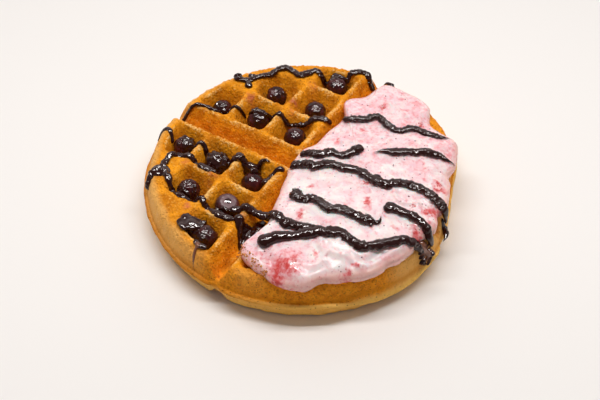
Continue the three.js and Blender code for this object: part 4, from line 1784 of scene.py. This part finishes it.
        # Where it doesn't cover, it stays this far inside the berry.
        hidden = 0.9
        rise = cover * (coat.thickness * lumps + hidden) - hidden
        heap.add(middle + body * (0.98 * half + rise[:, None]), faces)

    def build(self) -> bpy.types.Object:
        """Makes the syrup's mesh.

        Returns:
            The syrup, which stands for its share of the node that it lies on.
        """
        heap = Heap()
        for number, strand in enumerate(self.strands):
            self.add_strand(heap, strand, number)
        body, faces = ball(3)
        for number, (middle, size) in enumerate(self.pools):
            bumps = 1 + Unevenness(61 + number, 0.8, 0.12, 2).at(body)
            heap.add(body * bumps[:, None] * np.array(size) + np.array(middle), faces)
        for puddle in self.puddles:
            self.add_puddle(heap, puddle)
        for coat in self.coats:
            self.add_coat(heap, coat)
        piece = heap.piece(self.name, ChocolateSyrup())
        remeshed(piece, self.voxel, 1)
        points = np.array([vertex.co for vertex in piece.data.vertices])
        points[:, 2] = np.minimum(points[:, 2], self.ceiling * MM)
        piece.data.vertices.foreach_set("co", points.ravel())
        thin = np.zeros(len(points))
        for route in self.thin_routes:
            for spot in smooth_curve(route, self.thin_width / 2):
                away = np.hypot(points[:, 0] / MM - spot[0], points[:, 1] / MM - spot[1])
                thin = np.maximum(thin, np.exp(-((away / self.thin_width) ** 4)))
        paint(piece, "thin", thin)
        return place(piece, "chocolate_syrup", *self.nodes)


# ---- Berries ----


@dataclass
class Berry:
    """One berry: a squat ball with a dimple where its blossom was, and wrinkles."""

    number: int
    dimple_turn: float
    dimple_tilt: float
    wrinkling: float
    # The dimple's width in radians, its depth as a share of the radius, and its waxy bloom.
    dimple_width: float = 0.42
    dimple_depth: float = 0.16
    bloom: float = 0.1
    # The dimple's raised edge, and how deep the wrinkles and the sagging go.
    crown: float = 0.03
    wrinkle_depth: float = 0.1
    sag_depth: float = 0.03
    detail: int = 5

    def build(self) -> bpy.types.Object:
        """Makes the berry in the place of its solid.

        Returns:
            The berry, which stands for its node.
        """
        node = berry_node(self.number)
        middle, half = middle_and_half(node)
        body, faces = ball(self.detail)
        axis = direction(self.dimple_turn, self.dimple_tilt)
        away = np.arccos(np.clip(body @ axis, -1, 1)) / self.dimple_width
        seed = sum(ord(letter) for letter in node)
        creases = np.clip(1 - np.abs(Unevenness(seed, 0.36, layers=2).at(body)) / 0.4, 0, 1)
        sag = np.maximum(0, Unevenness(seed + 1, 0.9).at(body))
        reach = 0.99 - self.dimple_depth * np.exp(-(away**4))
        reach += self.crown * np.exp(-(((away - 1.15) / 0.25) ** 2))
        reach -= self.wrinkle_depth * self.wrinkling * creases + self.sag_depth * sag
        points = middle + body * half * np.minimum(reach, 1.0)[:, None]
        piece = make_piece("skin_of_" + node, points, faces, BerrySkin())
        paint(piece, "dimple", self.bloom * np.exp(-((away / 1.3) ** 2)))
        return place(piece, "berry_skin", node)


# ---- Fruit, seeds and crumbs ----


@dataclass
class Scatter:
    """Small irregular bodies dropped on a surface."""

    name: str
    slot: str
    finish: Finish
    surface: HeightAt
    # Places x, y, and how far the bodies spread round each.
    spots: list[tuple[float, float, float]]
    per_spot: int
    smallest: float
    largest: float
    # How much of its height a body is below the surface.
    sunk: float
    seed: int
    flatness: float = 0.75
    detail: int = 2
    keep: Callable[[np.ndarray], bool] | None = None

    def build(self) -> bpy.types.Object:
        """Scatters the bodies and joins them into one piece.

        Returns:
            The piece.
        """
        draw = np.random.default_rng(self.seed)
        body, faces = ball(self.detail)
        heap = Heap()
        for x, y, spread in self.spots:
            for _ in range(self.per_spot):
                spot = np.array([[x, y]]) + draw.normal(0, spread * 0.5, (1, 2))
                size = draw.uniform(self.smallest, self.largest) * draw.uniform(0.75, 1.3, 3)
                size[2] *= self.flatness
                if self.keep is not None and not self.keep(spot[0]):
                    continue
                height = float(self.surface(spot[:, 0], spot[:, 1])[0]) + size[2] * (1 - 2 * self.sunk)
                lumps = 1 + Unevenness(int(draw.integers(1, 900)), 0.7, 0.3, 2).at(body)
                spin = np.array(Matrix.Rotation(draw.uniform(0, math.tau), 3, "Z"))
                heap.add((body * lumps[:, None] * size) @ spin.T + [*spot[0], height], faces)
        return place(heap.piece(self.name, self.finish), self.slot)


# ---- Surroundings ----


@dataclass
class Studio:
    """A pale table, soft light from above and behind, and the camera."""

    table_half: float = 3000.0
    camera_at: tuple[float, float, float] = (250.5, -407.8, 522.1)
    camera_to: tuple[float, float, float] = (0.0, -4.3, 1.0)
    lens: float = 72.0
    sensor: float = 36.0
    # A long narrow lamp across the camera's view, with its powers in watts.
    lamp_at: tuple[float, float, float] = (-30.0, 50.0, 820.0)
    lamp_size: tuple[float, float] = (1000.0, 55.0)
    across_view: float = 31.8
    strip_power: float = 5.75
    gloss_power: float = 9.0
    # The room's own light: behind the waffle, overhead, and low before it.
    room_light: str = "#FFFCFA"
    backdrop_strength: float = 0.95
    ceiling_strength: float = 0.23
    room_strength: float = 0.10

    def build(self) -> None:
        """Makes the table, the lights and the camera."""
        corners = [(-1, -1, 0), (1, -1, 0), (1, 1, 0), (-1, 1, 0)]
        table = make_piece("table", self.table_half * np.array(corners), [(0, 1, 2, 3)], PaleTable())
        self.lamp("strip_light", 0.0, self.strip_power)
        # Wet food glints harder than a matt crust does, so the same strip shines again for gloss.
        self.lamp("gloss_light", 2.0, self.gloss_power).visible_diffuse = False
        bpy.context.scene.world = self.room()
        data = bpy.data.cameras.new("camera")
        data.lens = self.lens
        data.sensor_width = self.sensor
        camera = bpy.data.objects.new("camera", data)
        camera.location = Vector(self.camera_at) * MM
        aim = Vector(self.camera_to) * MM - camera.location
        camera.rotation_euler = aim.to_track_quat("-Z", "Y").to_euler()
        bpy.context.scene.collection.objects.link(camera)
        bpy.context.scene.camera = camera
        bpy.context.scene.view_settings.view_transform = "Standard"

    def room(self) -> bpy.types.World:
        """Makes the room's light: pale behind the waffle, dimmer overhead, dark low before it.

        Returns:
            The world.
        """
        room = bpy.data.worlds.new("room")
        room.use_nodes = True
        tree = room.node_tree
        away = Vector(self.camera_to) - Vector(self.camera_at)
        away.z = 0.0
        heading = add_node(tree, "ShaderNodeTexCoord", {}).outputs["Generated"]
        inputs = {0: heading, 1: away.normalized()}
        facing = add_node(tree, "ShaderNodeVectorMath", inputs, operation="DOT_PRODUCT")
        facing = facing.outputs["Value"]
        inputs = {
            "Value": facing,
            "From Min": -0.95,
            "From Max": -0.5,
            "To Min": self.room_strength,
            "To Max": self.ceiling_strength,
        }
        before = add_node(tree, "ShaderNodeMapRange", inputs).outputs[0]
        inputs = {
            "Value": facing,
            "From Min": 0.1,
            "From Max": 0.85,
            "To Min": 0.0,
            "To Max": self.backdrop_strength - self.ceiling_strength,
        }
        behind = add_node(tree, "ShaderNodeMapRange", inputs).outputs[0]
        strength = add_node(tree, "ShaderNodeMath", {0: before, 1: behind}, operation="ADD")
        backdrop = tree.nodes["Background"]
        backdrop.inputs["Color"].default_value = srgb(self.room_light)
        tree.links.new(strength.outputs[0], backdrop.inputs["Strength"])
        return room

    def lamp(self, name: str, lift: float, power: float) -> bpy.types.Object:
        """Hangs a long lamp over the waffle.

        Args:
            name: the lamp's name.
            lift: how far above its usual place it hangs.
            power: its power in watts.

        Returns:
            The lamp.
        """
        data = bpy.data.lights.new(name, "AREA")
        data.shape = "RECTANGLE"
        data.size, data.size_y = (side * MM for side in self.lamp_size)
        data.energy = power
        data.color = srgb(self.room_light)[:3]
        lamp = bpy.data.objects.new(name, data)
        lamp.location = (Vector(self.lamp_at) + Vector((0, 0, lift))) * MM
        lamp.rotation_euler = (0, 0, math.radians(self.across_view))
        bpy.context.scene.collection.objects.link(lamp)
        return lamp


# ---- The dessert ----


@dataclass
class Dessert:
    """The whole waffle with its toppings."""

    crust: Crust
    cream: Cream
    berry_count: int = 12

    def waffle_surface(self, x: np.ndarray, y: np.ndarray) -> np.ndarray:
        """Measures the waffle and the berries on it.

        Args:
            x: places along one groove.
            y: places along the other groove.

        Returns:
            The height at each place.
        """
        height = self.crust.top_map.at(x, y)
        for number in range(1, self.berry_count + 1):
            middle, half = middle_and_half(berry_node(number))
            rise = half[0] ** 2 - (x - middle[0]) ** 2 - (y - middle[1]) ** 2
            over_berry = middle[2] + np.sqrt(np.maximum(rise, 0)) * 0.93
            height = np.maximum(height, np.where(rise > 0, over_berry, 0))
        return height

    def cream_surface(self, x: np.ndarray, y: np.ndarray) -> np.ndarray:
        """Measures the cream, and the waffle's rim beyond its edge.

        Args:
            x: places along one groove.
            y: places along the other groove.

        Returns:
            The height at each place.
        """
        dx, dy = x - self.cream.middle[0], y - self.cream.middle[1]
        beyond = np.hypot(dx, dy) - self.cream.reach(np.arctan2(dy, dx))
        hang = smooth_step(beyond, -0.5, 3.0)
        return self.cream.top(x, y) * (1 - hang) + self.crust.top_map.at(x, y) * hang

    def berry_skins(self) -> list[Berry]:
        """Dresses the berries.

        Returns:
            Each berry, with where its blossom end points and how much it has shrivelled.
        """
        ends = [
            (200, 10, 1.0), (80, 20, 0.7), (300, 20, 0.6), (20, 15, 0.5), (140, 20, 0.6),
            (240, 10, 1.0), (170, 30, 1.1), (10, 30, 1.1), (100, 10, 0.2), (170, 20, 1.2),
            (-26, 72, 0.15), (60, 30, 0.6),
        ]
        berries = [Berry(number, *end) for number, end in enumerate(ends, start=1)]
        # The blossom end of berry 11 faces up, wide and with its bloom still on.
        upturned = berries[10]
        upturned.dimple_width, upturned.dimple_depth, upturned.bloom = 0.6, 0.13, 1.0
        return berries

    def syrup_on_waffle(self) -> Syrup:
        """Lays out the syrup that runs over the pockets and the berries.

        Returns:
            Its strands, pools, puddles and coats.
        """
        bulb, round_end, point = StrandEnd.BULB, StrandEnd.ROUND, StrandEnd.POINT
        strands = [
            Strand(1.9, [(-76, 42), (-70, 40), (-65, 43), (-62, 48), (-58, 53), (-56, 59), (-52, 64),
                         (-46, 63), (-42, 62), (-38, 66), (-35, 71), (-30, 71), (-24, 75), (-18, 77),
                         (-15, 82), (-10, 86), (-5, 85), (-1, 85)], bulb, coils=1.0),
            Strand(1.6, [(-67, 42), (-64, 39), (-62, 36)], round_end, bulb, 0.0),
            Strand(1.5, [(-68, 45), (-65, 47), (-62, 45)], coils=1.0),
            Strand(1.2, [(-87, 0), (-85, 4), (-81, 8), (-76, 9.5), (-70, 10), (-66, 12), (-63, 17),
                         (-59, 19), (-54, 21)], coils=0.4),
            Strand(1.8, [(-52, 21), (-47, 21), (-42, 22), (-38, 26), (-34, 27), (-29, 28), (-22, 30),
                         (-17, 31), (-14, 34), (-9, 37), (-5, 39)], coils=1.0),
            Strand(1.2, [(-86.8, -23.5), (-87, -20.4), (-85.3, -18.2), (-82.5, -18), (-79, -20.3),
                         (-76.8, -22.8)], coils=0.0),
            Strand(1.5, [(-66, -20), (-62, -19.2), (-60.4, -17.4), (-57.5, -17.6), (-54.2, -19.4),
                         (-50.6, -22)], coils=0.3),
            Strand(2.1, [(-41, -19.5), (-37, -18.4), (-33.6, -15.6), (-29.5, -16), (-25.8, -19.5)],
                   coils=1.0),
            Strand(1.9, [(-24, -20.5), (-21, -18.1), (-22.6, -13.8), (-22.6, -10.9), (-20, -9.4),
                         (-16, -9.2)], stop=point, coils=0.5),
            Strand(1.6, [(-11.2, -25), (-11.4, -20), (-11.8, -15), (-9.9, -11.6), (-6.5, -10.5)],
                   bulb, coils=0.2),
            Strand(2.0, [(-67, -46), (-68.3, -40), (-68.6, -35), (-66.5, -31.6), (-61, -30), (-56, -30),
                         (-52, -31.6), (-48, -32.6), (-42, -32), (-38, -29.5)], coils=0.6),
            Strand(2.2, [(-68.6, -58), (-70, -53.5), (-69.6, -49.4), (-66, -47.8), (-61.5, -49.3),
                         (-57, -52.4), (-52.5, -55), (-47, -57), (-41.5, -56), (-36.7, -52.6),
                         (-31.7, -54.6), (-27.2, -56.2), (-21, -57.6), (-14, -58), (-10.5, -56.4)]),
            Strand(2.4, [(-16.5, -51.5), (-13.4, -49), (-10, -47), (-6.5, -45.6), (-2.6, -45.4),
                         (1, -45), (5, -44.8), (8, -45.5)], coils=0.2, least=26.0),
            Strand(2.0, [(-9.4, -53), (-7.5, -56), (-4.6, -59.5), (-1.6, -63), (-0.2, -66)], bulb,
                   coils=0.0),
            Strand(3.6, [(0.6, -64), (0.8, -59), (1, -54), (1.4, -48), (1.8, -43)], coils=0.0),
            Strand(1.2, [(-25.5, -66), (-24.6, -63.5), (-24.8, -61)], round_end, point, 0.0),
            Strand(1.5, [(-20, -80.5), (-15.5, -82), (-11, -81)], coils=0.0),
            Strand(0.7, [(-15.5, -80), (-16.6, -82.6), (-16.2, -86), (-15.2, -90.2)], round_end,
                   point, 0.0),
        ]
        pools = [
            ((-27, -14.5, 21.5), (4.5, 4.0, 4.5)),
            ((-66.5, -47.5, 27.8), (5.6, 4.6, 2.0)),
            ((-28, -72, 22), (5.0, 4.5, 6)),
            ((-22, -55, 20), (7.5, 4.0, 5.5)),
        ]
        puddles = [
            Puddle([(-35.4, -74.2), (-35, -69), (-33.4, -67), (-29.3, -67.6), (-25.6, -67.4),
                    (-22.4, -66.2), (-22, -69.8), (-23.6, -72.4), (-26.3, -75), (-28.9, -76.4),
                    (-32.3, -76.4)], 28.3, 2.5),
            Puddle([(-7.5, -56), (-4.6, -60), (-0.5, -66), (4, -62), (4.5, -53), (1, -48), (-3, -51.5),
                    (-6, -54)], None, 4.0),
        ]
        coats = [
            Coat(1, -60, 35, 40, 0.25), Coat(2, 150, 30, 50), Coat(3, -60, 30, 35, 0.2),
            Coat(5, -20, 75, 48), Coat(6, -100, 40, 62, 0.35), Coat(7, 30, 50, 62),
            Coat(8, 0, 88, 115, 0.6), Coat(9, 120, 35, 40), Coat(10, -110, 0, 62, 0.35),
            Coat(11, -72, -10, 62, 0.6), Coat(12, -118, -22, 92, 0.6),
        ]
        tail = [(-16.6, -82.6), (-16.2, -86), (-15.2, -90.2)]
        return Syrup("syrup_on_waffle", ("waffle",), self.waffle_surface, strands, ceiling=31.7,
                     pools=pools, puddles=puddles, coats=coats, thin_routes=[tail])

    def syrup_on_cream(self) -> Syrup:
        """Lays out the syrup drizzled across the cream.

        Returns:
            Its strands.
        """
        bulb, point = StrandEnd.BULB, StrandEnd.POINT
        strands = [
            Strand(2.05, [(3, 38), (8, 38), (14, 41), (19.5, 47), (25, 46.5), (33, 43), (38, 44),
                         (42, 49), (48, 51.5), (55, 53), (60, 54.5), (64.5, 57)], stop=point, coils=1.0),
            Strand(2.5, [(34, 20), (38.5, 25), (44, 27.5), (50, 31.5), (55, 34.8), (60, 38.5),
                         (65, 40), (70, 40), (75.4, 41.5)], point, point, 0.5),
            Strand(2.5, [(-3, 1), (3, 2), (8, 2.5), (13, 8), (19, 9.5), (22.5, 14), (25, 18),
                         (28, 17)], stop=bulb, coils=0.6),
            Strand(2.55, [(-3.5, -9.5), (4.5, -6), (11, -6.5), (17, 0), (24, 1), (32, 4), (38.5, 2.5),
                         (45, 0.5), (53, 2), (58, 6.5), (63, 9.6), (69, 9.9), (75, 9.8), (80, 8.5),
                         (85, 8), (87.3, 9)], coils=0.9),
            Strand(2.6, [(13, -25), (12.5, -29.5), (17, -31), (21, -28), (27, -28.5), (36, -31),
                         (42, -28), (49, -27), (55, -26.3), (60.5, -27)], bulb, bulb, 1.0),
            Strand(1.2, [(60, -26), (62, -23), (61, -19.5)], stop=point, coils=0.0),
            Strand(2.45, [(61, -16), (63, -11.5), (69, -11), (76, -9.5), (82, -10.3), (86.5, -11.8),
                         (89, -11)], bulb, coils=0.25),
            Strand(2.9, [(4.5, -45.5), (9, -46.6), (14, -49), (21, -50.6), (27, -48.5), (34, -46.5),
                         (42, -46.5), (50, -43), (57, -44), (63, -43), (68, -40), (73, -34),
                         (78, -28.5), (83.7, -23.5), (86.5, -19)], coils=0.5),
            Strand(2.9, [(18, -70.5), (17, -66.5), (20, -63.5), (25, -59.5), (30, -54.5), (35, -49.5),
                         (40, -46.5)], bulb, coils=0.0),
        ]
        return Syrup("syrup_on_cream", ("cream",), self.cream_surface, strands, ceiling=42.2)

    def syrup_over_rim(self) -> Syrup:
        """Lays out the thin runs of syrup that crept over the waffle's rim past the cream.

        Returns:
            Its strands and smear, which no node of the part has.
        """
        point = StrandEnd.POINT
        strands = [
            Strand(1.8, [(83.5, -22), (87, -17.5), (89.4, -14), (90.6, -11)], coils=0.2, least=17.0),
            Strand(1.5, [(84.5, 8.8), (87.5, 8), (89.6, 5.5), (90.7, 2), (91, -1.5)], stop=point,
                   coils=0.2, least=15.5),
            Strand(1.5, [(3, 84.5), (7, 85.6), (12, 85)], point, coils=0.0),
        ]
        smear = Puddle([(84, -20.5), (87.6, -21.5), (89.4, -18.5), (90, -14), (88.8, -11.5),
                        (86, -14), (84.2, -16.5)], None, 0.9)
        edges = [[(84, -20), (87, -19), (89, -15)], [(84.5, -18), (87, -15.5), (88.5, -12.5)]]
        return Syrup("syrup_over_rim", (), self.crust.top_map.at, strands, ceiling=31.0,
                     puddles=[smear], thin_routes=edges)

    def on_cream(self, spot: np.ndarray) -> bool:
        """Whether a spot is well inside the cream's edge."""
        dx, dy = spot[0] - self.cream.middle[0], spot[1] - self.cream.middle[1]
        return math.hypot(dx, dy) < float(self.cream.reach(np.array([math.atan2(dy, dx)]))[0]) - 1.5

    def small_things(self) -> list[Scatter]:
        """Lays out crushed fruit and seeds in the cream, and crumbs along its edge.

        Returns:
            One scatter for each kind.
        """
        draw = np.random.default_rng(4)
        anywhere = [(x, y, 6.0) for x, y in draw.uniform((2, -80), (84, 80), (150, 2))]
        crumb_line = [(6.5, -73.5, 2.6), (8.5, -75.5, 2.8), (12, -77, 3.0), (16.5, -79, 2.4),
                      (21, -80.2, 2.6), (26, -81.3, 2.0)]
        red = [spot for spot in self.cream.fruits if spot[2] >= 1.9]
        cream = self.cream.top
        return [
            Scatter("crushed_fruit", "strawberry_fruit", CrushedStrawberry(), cream, red,
                    per_spot=8, smallest=0.2, largest=0.5, sunk=0.75, seed=41, keep=self.on_cream),
            Scatter("fruit_seeds", "strawberry_fruit", FruitSeed(), cream, anywhere, per_spot=1,
                    smallest=0.22, largest=0.5, sunk=0.6, seed=42, detail=1, keep=self.on_cream),
            Scatter("crust_crumbs", "waffle_crust", CrumbCrust(), self.cream_surface, crumb_line,
                    per_spot=13, smallest=0.15, largest=0.62, sunk=0.4, seed=43),
        ]


def main() -> None:
    """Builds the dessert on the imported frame."""
    logging.basicConfig(level=logging.INFO, format="%(name)s: %(message)s")
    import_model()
    Studio().build()
    crust = Crust()
    crust.build()
    cream = Cream(crust)
    cream.build()
    dessert = Dessert(crust, cream)
    syrups = [dessert.syrup_on_waffle(), dessert.syrup_on_cream(), dessert.syrup_over_rim()]
    for thing in [*syrups, *dessert.berry_skins(), *dessert.small_things()]:
        thing.build()


if __name__ == "__main__":
    main()
